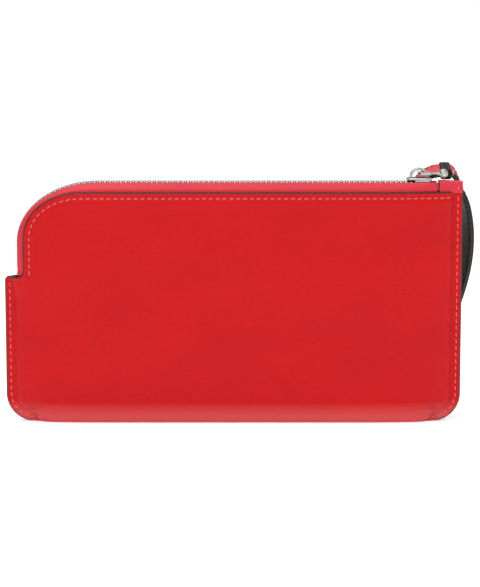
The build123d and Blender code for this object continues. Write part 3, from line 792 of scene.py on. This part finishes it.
def build_pull(metal):
    """A frame with a round bar, a waisted shank and an eye, as one cast piece."""
    half = PULL_HIGH[1]
    arm = 0.85
    bar = 0.6
    low_z, high_z = PIVOT_Z - bar, PIVOT_Z + bar
    frame_end = SLIDER_X + (CROWN_HIGH[0] - CROWN_LOW[0]) / 2 + 1.2
    shapes = [prism(circle((SLIDER_X, PIVOT_Z), bar, 24), -half, half, "Y", 0.12, 2)]
    for side in (-1, 1):
        reach = sorted((side * (half - arm), side * half))
        outline = rounded_box_outline((SLIDER_X - bar, low_z), (frame_end, high_z), 0.45, 5)
        shapes.append(prism(outline, reach[0], reach[1], "Y", 0.2, 3))
    cross = rounded_box_outline((frame_end - 0.9, -half), (frame_end, half), 0.35, 4)
    shapes.append(prism(cross, low_z, high_z, "Z", 0.22, 3))
    shank_start = frame_end - 0.4
    shank_run = EYE_X - 1.3 - frame_end + 0.4
    upper, lower = [], []
    for index in range(13):
        share = index / 12
        x = shank_start + shank_run * share
        half_z = bar * (0.95 - 0.3 * math.sin(math.pi * share) + 0.25 * share ** 3)
        upper.append((x, PIVOT_Z + half_z))
        lower.append((x, PIVOT_Z - half_z))
    shapes.append(prism(upper + lower[::-1], -PULL_HALF + 0.05, PULL_HALF - 0.05, "Y", 0.2, 3))
    outer = circle((EYE_X, PIVOT_Z), EYE_RADIUS, 40)
    inner = circle((EYE_X, PIVOT_Z), 1.1, 40)
    shapes.append(ring_prism(outer, inner, -PULL_HALF, PULL_HALF, "Y", 0.28))
    return join_shapes("pull_frame_and_eye", shapes, metal)


def build_rivet(metal):
    """The rivet through the pull's eye: a domed head in front and a round shaft."""
    low, high = node_box("link_rivet")
    head_back = -PULL_HALF - 0.15
    around = 32
    turned = ((0.01, low[1] + 0.3), (0.55, low[1] + 0.28), (0.72, low[1] + 0.06), (0.95, low[1]),
              (1.2, low[1] + 0.08), (1.38, low[1] + 0.28), (1.43, head_back - 0.08), (1.36, head_back),
              (1.03, head_back), (1.03, high[1]))
    points = []
    for radius, y in turned:
        for turn in np.linspace(0, 2 * math.pi, around, endpoint=False):
            points.append((EYE_X + radius * math.cos(turn), y, PIVOT_Z + radius * math.sin(turn)))
    return join_shapes("link_rivet_head", [(points, tube_faces(len(turned), around))], metal)


def build_link(metal):
    """The link: a round plate behind the eye, an arm, a lug and the cross pin with its head."""
    low, high = node_box("strap_link")
    plate_back = low[1] + 0.6
    lug_right = 86.2
    low_z, high_z = PIVOT_Z - 1, PIVOT_Z + 1
    swivel = (SWIVEL_Y, PIVOT_Z)
    arm = rounded_box_outline((low[0], low_z), (EYE_X, high_z), 0.4, 4)
    lug = rounded_box_outline((low[0], low[1]), (lug_right, SWIVEL_Y + 1), 0.5, 5)
    shapes = [prism(circle((EYE_X, PIVOT_Z), 1.65, 32), low[1], plate_back, "Y", 0.15, 2),
              prism(arm, low[1], plate_back, "Y", 0.15, 2),
              prism(lug, low_z, high_z, "Z", 0.3, 3),
              prism(circle(swivel, 0.8, 24), lug_right - 0.3, high[0] - 0.2, "X", 0.1, 2),
              prism(circle(swivel, 1.2, 28), high[0] - 0.5, high[0], "X", 0.18, 3)]
    return join_shapes("strap_link_body", shapes, metal)


# ---- wrist strap ---------------------------------------------------------------------------------
STRAP_WIDTH = 10.4
STRAP_PLY = 1.1
STRAP_STITCH_IN = 1.35
KEEPER_WRAP = 0.6
STEPS_PER_SPAN = 7
KEEPER_LOW, KEEPER_HIGH = node_box("strap_keeper")
KEEPER_LEFT_X, KEEPER_RIGHT_X = KEEPER_LOW[0], KEEPER_HIGH[0]

# The strap's near and far edges, from the keeper's right face round the loop to its left face.
STRAP_EDGES = [
    ((KEEPER_RIGHT_X, 4.9, 103.0), (KEEPER_RIGHT_X, 14.9, 106.0)),
    ((93.0, 6.4, 101.6), (93.0, 16.0, 103.2)),
    ((95.2, 8.9, 97.0), (94.9, 19.2, 98.0)),
    ((98.9, 10.6, 89.0), (96.6, 20.4, 89.6)),
    ((100.8, 11.0, 76.0), (96.8, 20.8, 76.0)),
    ((99.5, 10.8, 62.0), (95.8, 20.8, 61.5)),
    ((95.0, 10.4, 47.0), (92.6, 20.8, 46.0)),
    ((87.5, 10.0, 31.5), (86.2, 20.6, 30.5)),
    ((76.5, 9.8, 18.0), (76.0, 20.4, 17.0)),
    ((62.0, 9.8, 9.8), (62.0, 20.4, 9.0)),
    ((47.0, 9.8, 11.0), (47.0, 20.4, 10.4)),
    ((35.8, 9.8, 22.0), (36.0, 20.4, 21.5)),
    ((31.6, 9.8, 38.0), (32.0, 20.4, 38.0)),
    ((35.0, 9.8, 55.0), (35.2, 20.4, 55.0)),
    ((43.5, 9.8, 69.5), (43.6, 20.4, 69.5)),
    ((54.5, 9.8, 80.5), (54.5, 20.2, 80.8)),
    ((66.0, 9.8, 89.0), (66.0, 20.0, 89.8)),
    ((74.5, 8.9, 95.8), (74.5, 18.8, 97.4)),
    ((80.5, 6.4, 101.2), (80.5, 16.2, 103.8)),
    ((KEEPER_LEFT_X, 4.9, 103.0), (KEEPER_LEFT_X, 14.9, 106.0)),
]


def smooth_point(four, share):
    """A point on the smooth curve through four points, between the middle two."""
    a, b, c, d = four
    return 0.5 * (2 * b + (c - a) * share + (2 * a - 5 * b + 4 * c - d) * share ** 2
                  + (3 * b - a - 3 * c + d) * share ** 3)


def strap_stations():
    """Middle, width direction and outward direction along the strap."""
    edges = np.array(STRAP_EDGES)
    first = edges[1] * (-1, 1, 1) + edges[0] * (2, 0, 0)
    last = edges[-2] * (-1, 1, 1) + edges[-1] * (2, 0, 0)
    edges = np.concatenate([[first], edges, [last]])
    rows = []
    for index in range(1, len(edges) - 2):
        for step in range(STEPS_PER_SPAN):
            rows.append(smooth_point(edges[index - 1:index + 3], step / STEPS_PER_SPAN))
    rows.append(edges[-2])
    rows = np.array(rows)
    middles = rows.mean(1)
    stations = []
    for index in range(len(rows)):
        ahead = middles[min(index + 1, len(rows) - 1)] - middles[max(index - 1, 0)]
        if index in (0, len(rows) - 1):
            ahead = np.array([1.0, 0, 0])
        ahead = ahead / np.linalg.norm(ahead)
        width = rows[index][1] - rows[index][0]
        width /= np.linalg.norm(width)
        out = np.cross(ahead, width)
        stations.append((middles[index], width, out / np.linalg.norm(out)))
    return stations


def ply_section(inner):
    """Round one ply: (along the width, out of the loop). The outer ply is slightly padded."""
    half = STRAP_WIDTH / 2
    sign = -1 if inner else 1
    face = []
    for step in range(25):
        share = step / 24
        across = -half + 0.35 + (STRAP_WIDTH - 0.7) * share
        dome = 0.12 * math.sin(math.pi * share) ** 0.6
        gap = min(across + half, half - across)
        groove = 0.16 * math.exp(-((gap - STRAP_STITCH_IN) / 0.4) ** 2)
        face.append((across, STRAP_PLY - 0.12 + dome - groove))
    rounded = [(half - 0.12, STRAP_PLY - 0.3), (half, STRAP_PLY - 0.6), (half, 0.02)]
    section = [(-across, up) for across, up in reversed(rounded)] + face + rounded
    return [(across, sign * up) for across, up in section]


def build_ply(name, inner, materials):
    """One ply of the strap with its painted edges."""
    section = ply_section(inner)
    stations = strap_stations()
    points = []
    for middle, width, out in stations:
        for across, up in section:
            points.append(middle + width * across + out * up)
    columns = len(section)
    faces = grid_faces(len(stations), columns, flip=inner, close_columns=True)
    kinds = []
    for index in range(len(faces)):
        column = index % columns
        edge = column < 3 or column >= columns - 4
        kinds.append(1 if edge else 0)
    ends = [list(range(columns)), list(range((len(stations) - 1) * columns, len(stations) * columns))]
    faces.append(ends[0] if not inner else ends[0][::-1])
    faces.append(ends[1][::-1] if not inner else ends[1])
    kinds += [1, 1]
    return add_mesh(name, points, faces, materials, kinds)


def build_strap_stitches(thread):
    """Two rows of stitches on each face of the strap."""
    stations = strap_stations()[2:-2]
    runs = []
    for face in (1, -1):
        for hand in (1, -1):
            path = []
            for middle, width, out in stations:
                across = width * hand * (STRAP_WIDTH / 2 - STRAP_STITCH_IN)
                spot = middle + across + out * face * (STRAP_PLY - 0.12)
                path.append((spot, out * face))
            runs.append(stitch_run(path, *STRAP_STITCH))
    return add_mesh("strap_stitches", *merge_shapes(runs), [thread])


def build_keeper(leather, thread):
    """The black keeper: a padded wrap over the strap's ends, with an eye round the cross pin."""
    near, far = np.array(STRAP_EDGES[0][0]), np.array(STRAP_EDGES[0][1])
    width = (far - near) / np.linalg.norm(far - near)
    out = np.cross([1.0, 0, 0], width)
    middle = (near + far) / 2
    half_wide = STRAP_WIDTH / 2 + KEEPER_WRAP
    half_thick = STRAP_PLY + KEEPER_WRAP
    outline = rounded_box_outline((-half_wide, -half_thick), (half_wide, half_thick), 0.75, 7)
    length = KEEPER_RIGHT_X - KEEPER_LEFT_X
    near_end = (0, 0.12, 0.4, 0.9, 1.6)
    cuts = [*near_end, length / 2, *(length - cut for cut in reversed(near_end))]
    points = []
    for cut in cuts:
        shrink = 0.28 * (1 - smooth(0.0, 0.45, np.array(min(cut, length - cut))))
        puff = 0.10 * math.sin(math.pi * cut / length)
        for across, up in outline:
            scale = 1 - (shrink - puff) / half_thick * 0.55
            spot = middle + width * across * (1 - (shrink - puff) / half_wide) + out * up * scale
            points.append((KEEPER_LEFT_X + cut, spot[1], spot[2]))
    wrap = (points, tube_faces(len(cuts), len(outline), flip=True))
    swivel = (SWIVEL_Y, PIVOT_Z)
    eye_outer, eye_inner = circle(swivel, 1.5, 32), circle(swivel, 0.87, 32)
    eye = ring_prism(eye_outer, eye_inner, KEEPER_LEFT_X, KEEPER_RIGHT_X, "X", 0.2)
    body = join_shapes("strap_keeper_wrap", [wrap, eye], leather)
    runs = []
    for x in (KEEPER_LEFT_X + 0.9, KEEPER_RIGHT_X - 0.9):
        path = []
        for across in np.linspace(-half_wide + 1.2, half_wide - 1.2, 12):
            spot = middle + width * across + out * (half_thick + 0.06)
            path.append(((x, spot[1], spot[2]), out))
        runs.append(stitch_run(path, *KEEPER_STITCH))
    return body, add_mesh("keeper_stitches", *merge_shapes(runs), [thread])


# ---- end tab, stops, lining ----------------------------------------------------------------------
def build_end_tab(leather, edge_paint, thread):
    """Folded leather over the zip's right end: two faces joined by a rounded fold on top."""
    low, high = node_box("zip_end_tab")
    taper, seam_half, end_in = 7.4, 1.5, 0.1
    points = []
    places = np.linspace(low[0], high[0] - end_in, 22)
    for x in places:
        reach = seam_half + (high[1] - seam_half) * max(0.0, 1 - ((x - low[0]) / taper)) ** 0.75
        reach = max(seam_half, reach - 0.05)
        fold = min(1.1, reach * 0.8)
        section = [(-reach, low[2] - 0.6), (-reach - 0.03, low[2] + 1.0)]
        for step in range(7):
            turn = math.pi / 2 * step / 6
            section.append((-reach + fold * (1 - math.cos(turn)), high[2] - fold + fold * math.sin(turn)))
        section += [(-y, z) for y, z in reversed(section)]
        points += [(x, y, z) for y, z in section]
    faces = tube_faces(len(places), len(section), flip=True)
    kinds = [0] * (len(faces) - 2) + [1, 1]
    tab = add_mesh("zip_end_tab_fold", points, faces, [leather, edge_paint], kinds)
    bevel = tab.modifiers.new("soft", "BEVEL")
    bevel.width = 0.15 * MM
    bevel.segments = 2
    bevel.limit_method = "ANGLE"
    runs = []
    for side in (-1, 1):
        out = np.array((0.0, side, 0.0))
        path = [(np.array((HALF_WIDTH - SIDE_STITCH_IN, side * 1.52, z)), out) for z in (100.6, 96.8)]
        runs.append(stitch_run(path, *TAB_STITCH))
    return tab, add_mesh("end_tab_stitches", *merge_shapes(runs), [thread])


def build_stops(metal):
    """The two stops at the right end of the teeth and the one at their foot."""
    low, high = node_box("zip_top_stops")
    shapes = []
    for side in (-1, 1):
        reach = sorted((side * 0.45, side * high[1]))
        outline = rounded_box_outline((low[0], reach[0]), (high[0], reach[1]), 0.35, 4)
        shapes.append(prism(outline, low[2], high[2], "Z", 0.2, 3))
    top = join_shapes("zip_top_stop_pair", shapes, metal)
    low, high = node_box("zip_bottom_stop")
    outline = rounded_box_outline((low[1], low[2]), (high[1], high[2]), 0.4, 5)
    bottom = join_shapes("zip_foot_stop", [prism(outline, low[0], high[0], "X", 0.25, 3)], metal)
    return top, bottom


def build_lining(fabric):
    """The lining inside both walls and the fold, as one thin sheet."""
    inset = LEATHER + 0.15
    thick = 0.35
    side_margin = 6.0
    columns = 90
    heights = [0.6, 1.8, 3.4, 5.4, 8.0, *np.arange(11.0, WALL_TOP - 6.9, 3.0)]
    rows = [(half, 0.0) for half in (0.0, 2.0, 3.4)]
    rows += [(float(profile_at(np.array(z))), float(z)) for z in heights]
    order = [(-1, row) for row in reversed(rows)] + [(1, row) for row in rows[1:]]
    outer, inner = [], []
    for side, (profile, height) in order:
        left = left_edge(height) + side_margin + 6.0 * float(smooth(52, 66, np.array(height)))
        right = right_edge(height) - side_margin
        x = np.linspace(left, right, columns)
        z = np.full_like(x, height)
        half = wall_half(x, z, np.full_like(x, profile))
        raised = z + inset * (1 - smooth(0, 9, z))
        outer_y = np.maximum(half - inset, 0.08 if profile else 0.0)
        inner_y = np.maximum(half - inset - thick, 0.04 if profile else 0.0)
        outer.append(np.stack([x, side * outer_y, raised], 1))
        inner.append(np.stack([x, side * inner_y, raised + thick * 0.6], 1))
    faces, _ = shell_faces(len(order), columns)
    return add_mesh("lining_sheet", np.concatenate(outer + inner), faces, [fabric])


# ---- materials -----------------------------------------------------------------------------------
def new_material(name):
    """An empty material with its node tree and its shader."""
    material = bpy.data.materials.new(name)
    material.use_nodes = True
    tree = material.node_tree
    return material, tree, tree.nodes["Principled BSDF"]


def connect(tree, value, socket):
    """Give a socket a constant, or link another socket to it."""
    if isinstance(value, bpy.types.NodeSocket):
        tree.links.new(value, socket)
    else:
        socket.default_value = value


def add_node(tree, kind, **values):
    """A node with some of its settings and sockets given."""
    node = tree.nodes.new(kind)
    for key, value in values.items():
        if hasattr(node, key):
            setattr(node, key, value)
        else:
            connect(tree, value, node.inputs[key.replace("_", " ")])
    return node


def stretched(tree, scale=(1, 1, 1), turn=0.0):
    """Object coordinates, stretched and turned about Y."""
    coordinates = add_node(tree, "ShaderNodeTexCoord").outputs["Object"]
    mapping = add_node(tree, "ShaderNodeMapping", Scale=scale, Rotation=(0, turn, 0), Vector=coordinates)
    return mapping.outputs["Vector"]


def noise_node(tree, vector, scale, detail=2.0, rough=0.5):
    """A noise texture on a vector."""
    node = add_node(tree, "ShaderNodeTexNoise", Scale=scale, Detail=detail, Roughness=rough, Vector=vector)
    return node.outputs["Fac"]


def wave_node(tree, direction, scale, distortion):
    """Parallel bands along a direction."""
    node = add_node(tree, "ShaderNodeTexWave", bands_direction=direction, Scale=scale,
                    Distortion=distortion, Detail=2.0, Vector=stretched(tree))
    return node.outputs["Fac"]


def math_node(tree, operation, first, second):
    """A maths node on two sockets or numbers."""
    node = add_node(tree, "ShaderNodeMath", operation=operation)
    connect(tree, first, node.inputs[0])
    connect(tree, second, node.inputs[1])
    return node.outputs[0]


def weighted_sum(tree, first, first_weight, second, second_weight):
    """The sum of two values, each times its weight."""
    return math_node(tree, "ADD", math_node(tree, "MULTIPLY", first, first_weight),
                     math_node(tree, "MULTIPLY", second, second_weight))


def ramp_node(tree, value, stops):
    """A colour ramp on a value."""
    node = add_node(tree, "ShaderNodeValToRGB", Fac=value)
    ramp = node.color_ramp
    while len(ramp.elements) < len(stops):
        ramp.elements.new(0.5)
    for element, (position, colour) in zip(ramp.elements, stops):
        element.position = position
        element.color = (*colour, 1)
    return node.outputs["Color"]


def bump_node(tree, height, strength, distance):
    """A bump node on a height value."""
    node = add_node(tree, "ShaderNodeBump", Strength=strength, Distance=distance, Height=height)
    return node.outputs["Normal"]


def map_range(tree, value, low, high, to_low, to_high):
    """Map a value from one range to another."""
    node = add_node(tree, "ShaderNodeMapRange", Value=value, From_Min=low, From_Max=high, To_Min=to_low,
                    To_Max=to_high)
    return node.outputs["Result"]


def mix_node(tree, factor, first, second):
    """A colour between two others."""
    node = add_node(tree, "ShaderNodeMix", data_type="RGBA", Factor=factor, A=first, B=second)
    return node.outputs["Result"]


def shade(colour, factor):
    """A colour made lighter or darker."""
    return tuple(min(1.0, channel * factor) for channel in colour)


def finish_shader(tree, shader, colour, roughness, normal):
    """Give the shader its colour, roughness and surface detail."""
    connect(tree, colour, shader.inputs["Base Color"])
    connect(tree, roughness, shader.inputs["Roughness"])
    connect(tree, normal, shader.inputs["Normal"])


def add_painted_fold_highlight(tree, colours, colour, amount):
    """Painted highlight: the leather coloured lighter along the bottom fold, standing in for the sheen
    there.
    """
    coordinates = add_node(tree, "ShaderNodeTexCoord").outputs["Object"]
    height = add_node(tree, "ShaderNodeSeparateXYZ", Vector=coordinates).outputs["Z"]
    # painted highlight: full at the fold and fading out above it
    highlight_share = map_range(tree, height, HIGHLIGHT_TOP * MM, HIGHLIGHT_FULL * MM, 0.0, amount)
    return mix_node(tree, highlight_share, colours, (colour[0] * 1.3, colour[1] + 0.09, colour[2] + 0.09, 1))


def leather_material(name, colour, roughness, grain=1.0, shine=0.2, fold_highlight=0.0):
    """Crossgrain leather: two fine slanted grains over a soft pebble, with uneven colour and gloss."""
    material, tree, shader = new_material(name)
    slant = math.radians(24)
    first = noise_node(tree, stretched(tree, (420, 2600, 2600), slant), 1.0, 3.0, 0.55)
    second = noise_node(tree, stretched(tree, (2600, 2600, 520), -slant), 1.0, 3.0, 0.55)
    pebble = noise_node(tree, stretched(tree), 900.0, 4.0, 0.6)
    crossed = math_node(tree, "ADD", first, second)
    grain_height = math_node(tree, "ADD", crossed, math_node(tree, "MULTIPLY", pebble, 0.8))
    cloud = noise_node(tree, stretched(tree, (1, 1, 1.6)), 26.0, 3.0, 0.55)
    tone = weighted_sum(tree, cloud, 0.65, map_range(tree, grain_height, 0.9, 1.9, 0.0, 1.0), 0.35)
    dark, light = shade(colour, 0.86), shade(colour, 1.12)
    colours = ramp_node(tree, tone, [(0.2, dark), (0.5, colour), (0.82, light)])
    # painted highlight along the bottom fold, lighter than the leather's own colour
    if fold_highlight:
        colours = add_painted_fold_highlight(tree, colours, colour, fold_highlight)
    rough = map_range(tree, tone, 0.3, 0.7, roughness + 0.08, roughness - 0.08)
    fine = add_node(tree, "ShaderNodeBump", Strength=0.6 * grain, Distance=0.0002, Height=grain_height,
                    Normal=bump_node(tree, cloud, 0.25, 0.0006))
    finish_shader(tree, shader, colours, rough, fine.outputs["Normal"])
    shader.inputs["Specular IOR Level"].default_value = shine
    shader.inputs["Sheen Weight"].default_value = 0.02
    return material


def paint_material(name, colour):
    """Edge paint: a soft gloss with small runs and grain."""
    material, tree, shader = new_material(name)
    runs = noise_node(tree, stretched(tree), 700.0, 3.0)
    colours = ramp_node(tree, runs, [(0.3, shade(colour, 0.7)), (0.7, shade(colour, 1.5))])
    rough = map_range(tree, runs, 0.3, 0.7, 0.36, 0.5)
    finish_shader(tree, shader, colours, rough, bump_node(tree, runs, 0.4, 0.0001))
    return material


def metal_material(name, colour, roughness):
    """Plated metal with faint brushing, small dents and painted shade darkening its hollows."""
    material, tree, shader = new_material(name)
    brushed = noise_node(tree, stretched(tree, (300, 3800, 3800)), 1.0, 2.0)
    dents = noise_node(tree, stretched(tree), 450.0, 3.0)
    mixed = weighted_sum(tree, brushed, 0.5, dents, 0.5)
    clean = ramp_node(tree, mixed, [(0.25, shade(colour, 0.78)), (0.6, colour)])
    # painted shade: ambient occlusion darkens the colour in hollows and between parts
    hollows = add_node(tree, "ShaderNodeAmbientOcclusion", Distance=0.0015, Color=clean).outputs["AO"]
    unshaded_share = map_range(tree, hollows, 0.25, 0.8, 0.0, 1.0)
    colours = mix_node(tree, unshaded_share, (*HOLLOW_SHADE_COLOUR, 1), clean)
    rough = map_range(tree, mixed, 0.3, 0.7, roughness + 0.1, roughness)
    finish_shader(tree, shader, colours, rough, bump_node(tree, dents, 0.25, 0.00008))
    shader.inputs["Metallic"].default_value = 1.0
    return material


def woven_material(name, colour, pitch):
    """Woven cloth: crossing threads at a pitch in metres."""
    material, tree, shader = new_material(name)
    across, upward = (wave_node(tree, direction, 0.31 / pitch, 0.6) for direction in ("X", "Z"))
    height = math_node(tree, "MAXIMUM", across, upward)
    colours = ramp_node(tree, height, [(0.1, shade(colour, 0.55)), (0.9, shade(colour, 1.25))])
    finish_shader(tree, shader, colours, 0.85, bump_node(tree, height, 0.6, 0.0002))
    shader.inputs["Sheen Weight"].default_value = 0.3
    return material


def thread_material(name, colour):
    """Twisted sewing thread."""
    material, tree, shader = new_material(name)
    twist = wave_node(tree, "DIAGONAL", 1400.0, 1.0)
    colours = ramp_node(tree, twist, [(0.1, shade(colour, 0.7)), (0.8, shade(colour, 1.15))])
    finish_shader(tree, shader, colours, 0.55, bump_node(tree, twist, 0.5, 0.0001))
    shader.inputs["Sheen Weight"].default_value = 0.25
    return material


RED = (0.47, 0.003, 0.005)
STRIP_RED = (0.56, 0.02, 0.035)
STRAP_RED = (0.55, 0.012, 0.03)
BLACK = (0.007, 0.006, 0.005)
NICKEL = (0.46, 0.45, 0.43)
TEETH_NICKEL = (0.42, 0.40, 0.38)
# colour of the painted shade in the metal's hollows
HOLLOW_SHADE_COLOUR = (0.03, 0.028, 0.026)
CARD_RED = (0.36, 0.012, 0.02)
THREAD_RED = (0.8, 0.11, 0.11)
THREAD_BLACK = (0.03, 0.025, 0.025)
LINING_BLACK = (0.03, 0.03, 0.034)
TAPE_MAROON = (0.05, 0.012, 0.014)
BOARD_BROWN = (0.3, 0.22, 0.15)

# The painted highlight band above the fold starts at one height and is full at the other, in millimetres.
HIGHLIGHT_TOP = 9.0
HIGHLIGHT_FULL = 3.0

# the wall leather carries the painted highlight along its fold
red_leather = leather_material("red_crossgrain_leather", RED, 0.40, 1.0, 0.15, fold_highlight=0.6)
strip_leather = leather_material("gusset_leather", STRIP_RED, 0.42, 0.7, 0.3)
strap_leather = leather_material("strap_leather_red", STRAP_RED, 0.38, 0.8, 0.3)
black_leather = leather_material("black_leather_lining", BLACK, 0.5, 0.9, 0.12)
card_leather = leather_material("card_panel_leather", CARD_RED, 0.5, 0.7, 0.2)
edge_paint = paint_material("black_edge_paint", BLACK)
thread = thread_material("red_thread", THREAD_RED)
black_thread = thread_material("black_thread", THREAD_BLACK)
nickel = metal_material("polished_nickel", NICKEL, 0.14)
teeth_metal = metal_material("zip_teeth_nickel", TEETH_NICKEL, 0.26)
lining_cloth = woven_material("lining_cloth", LINING_BLACK, 0.0006)
tape_cloth = woven_material("zip_tape_cloth", TAPE_MAROON, 0.0005)
board_fibre = woven_material("fibre_board", BOARD_BROWN, 0.0004)


# ---- put everything together ---------------------------------------------------------------------
def place(piece, body, slot_name, *nodes):
    """Ride on a body and stand for CAD nodes."""
    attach(piece, body)
    if nodes:
        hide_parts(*nodes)


def place_bent(piece, slot_name, *nodes, back_only=False):
    """A piece of the back wall: its transform is baked and it stands for CAD nodes."""
    bend_with_mouth(piece, back_only)
    if nodes:
        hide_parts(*nodes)


def build_wallet():
    """Leather, stitches, strips, zip and lining."""
    sheet = build_outer_leather(red_leather, edge_paint)
    place_bent(sheet, "red_leather", "outer_leather", "back_flap_leather", back_only=True)
    lining = build_lining(lining_cloth)
    place_bent(lining, "lining_fabric", "lining_bag", "back_flap_lining", back_only=True)
    for stitches, side, name in build_wall_stitches(thread):
        if side < 0 and name == "top":
            place_bent(stitches, "red_leather")
        else:
            place(stitches, "wallet", "red_leather")
    stations = rail_stations(STRIP_RIGHT_X, ZIP_FOOT_Z)
    for side, name in ((1, "front"), (-1, "back")):
        strip = sweep_band(f"gusset_strip_{name}_leather", stations, strip_section, side, [strip_leather])
        tape = sweep_band(f"zip_tape_{name}_cloth", stations, tape_section, side, [tape_cloth])
        row = build_teeth(side, teeth_metal)
        pieces = ((strip, "gusset_leather", f"gusset_strip_{name}"), (tape, "zip_tape", f"zip_tape_{name}"),
                  (row, "zip_metal", f"zip_teeth_{name}"))
        for piece, slot_name, node in pieces:
            if side < 0:
                place_bent(piece, slot_name, node)
            else:
                place(piece, "wallet", slot_name, node)
    tab, tab_stitches = build_end_tab(strip_leather, edge_paint, thread)
    place(tab, "wallet", "gusset_leather", "zip_end_tab")
    place(tab_stitches, "wallet", "red_leather")
    top_stops, foot_stop = build_stops(teeth_metal)
    place(top_stops, "wallet", "zip_metal", "zip_top_stops")
    place(foot_stop, "wallet", "zip_metal", "zip_bottom_stop")


def build_hardware():
    """Slider, pull and link."""
    place(build_slider(nickel), "slider", "polished_metal", "slider_body")
    place(build_crown(nickel), "slider", "polished_metal", "slider_crown")
    place(build_spring(nickel), "slider", "polished_metal", "slider_lock_spring")
    place(build_pull(nickel), "pull", "polished_metal", "pull_tab")
    place(build_rivet(nickel), "link", "polished_metal", "link_rivet")
    place(build_link(nickel), "link", "polished_metal", "strap_link")


def build_strap():
    """Strap, its stitches and its keeper."""
    outer_ply = build_ply("strap_outer_ply", False, [strap_leather, edge_paint])
    place(outer_ply, "strap", "strap_red", "strap_leather")
    inner_ply = build_ply("strap_inner_ply", True, [black_leather, edge_paint])
    place(inner_ply, "strap", "black_leather", "strap_lining")
    place(build_strap_stitches(black_thread), "strap", "strap_red")
    keeper, stitches = build_keeper(black_leather, black_thread)
    place(keeper, "strap", "black_leather", "strap_keeper")
    place(stitches, "strap", "black_leather")


def finish_cad_nodes():
    """The inner pieces that keep their CAD shape take a procedural finish."""
    finishes = {"bottom_stiffener": board_fibre, "card_backing": card_leather}
    for pocket in ("top", "middle", "bottom"):
        finishes[f"card_pocket_{pocket}"] = card_leather
    for node, material in finishes.items():
        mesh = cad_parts[node].data
        mesh.materials.clear()
        mesh.materials.append(material)


# ---- stage, light and camera ---------------------------------------------------------------------
def build_stage():
    """A plain pale floor, large enough to fill the view to its horizon."""
    half_width, front, back = 5000.0, -5000.0, 9000.0
    points = [(x, y, 0.0) for y in (front, back) for x in (-half_width, half_width)]
    material, tree, shader = new_material("pale_floor")
    speckle = noise_node(tree, stretched(tree), 60.0, 2.0)
    pale = ramp_node(tree, speckle, [(0.0, (0.88, 0.88, 0.88)), (1.0, (0.92, 0.92, 0.92))])
    connect(tree, pale, shader.inputs["Base Color"])
    shader.inputs["Roughness"].default_value = 0.75
    shader.inputs["Emission Color"].default_value = (1, 1, 1, 1)
    shader.inputs["Emission Strength"].default_value = 0.3
    floor = add_mesh("floor", points, grid_faces(2, 2), [material])


def area_light(name, spot, target, size, power):
    """A soft area light aimed at a point."""
    data = bpy.data.lights.new(name, "AREA")
    data.shape = "RECTANGLE"
    data.size, data.size_y = size
    data.energy = power
    lamp = bpy.data.objects.new(name, data)
    bpy.context.collection.objects.link(lamp)
    lamp.location = spot
    way = Vector(target) - Vector(spot)
    lamp.rotation_euler = way.to_track_quat("-Z", "Y").to_euler()


def build_light():
    """A white tent: bright surroundings, one large key and two fills."""
    world = bpy.data.worlds.new("tent")
    world.use_nodes = True
    tree = world.node_tree
    background = tree.nodes["Background"]
    direction = add_node(tree, "ShaderNodeTexCoord").outputs["Generated"]
    upward = add_node(tree, "ShaderNodeSeparateXYZ", Vector=direction).outputs["Z"]
    height = map_range(tree, upward, -1.0, 1.0, 0.0, 1.0)
    greys = ((0.4, 0.2), (0.55, 0.16), (0.8, 1.0))
    sky = ramp_node(tree, height, [(position, (grey, grey, grey)) for position, grey in greys])
    connect(tree, sky, background.inputs["Color"])
    background.inputs["Strength"].default_value = 1.0
    bpy.context.scene.world = world
    middle = (0, 0, 0.05)
    area_light("key", (-0.25, -0.75, 0.85), middle, (0.7, 0.5), 5.2)
    area_light("fill_right", (0.8, -0.5, 0.35), middle, (0.4, 0.6), 0.8)
    area_light("top", (0.0, 0.15, 0.9), middle, (0.9, 0.5), 2.6)


def build_camera():
    """The photograph's view: square on to the back wall, a little from above, with a long lens."""
    elevation = math.radians(9)
    distance = 0.95
    frame_width = 0.2006
    aim = Vector((2.8 * MM, 0.0, 54.0 * MM))
    data = bpy.data.cameras.new("camera")
    data.sensor_fit = "HORIZONTAL"
    data.lens = data.sensor_width * distance / frame_width
    camera = bpy.data.objects.new("camera", data)
    bpy.context.collection.objects.link(camera)
    camera.location = aim + distance * Vector((0, -math.cos(elevation), math.sin(elevation)))
    camera.rotation_euler = (aim - camera.location).to_track_quat("-Z", "Y").to_euler()
    bpy.context.scene.camera = camera


build_camera()
build_stage()
build_light()
bpy.context.scene.view_settings.view_transform = "Standard"
build_wallet()
build_hardware()
build_strap()
finish_cad_nodes()
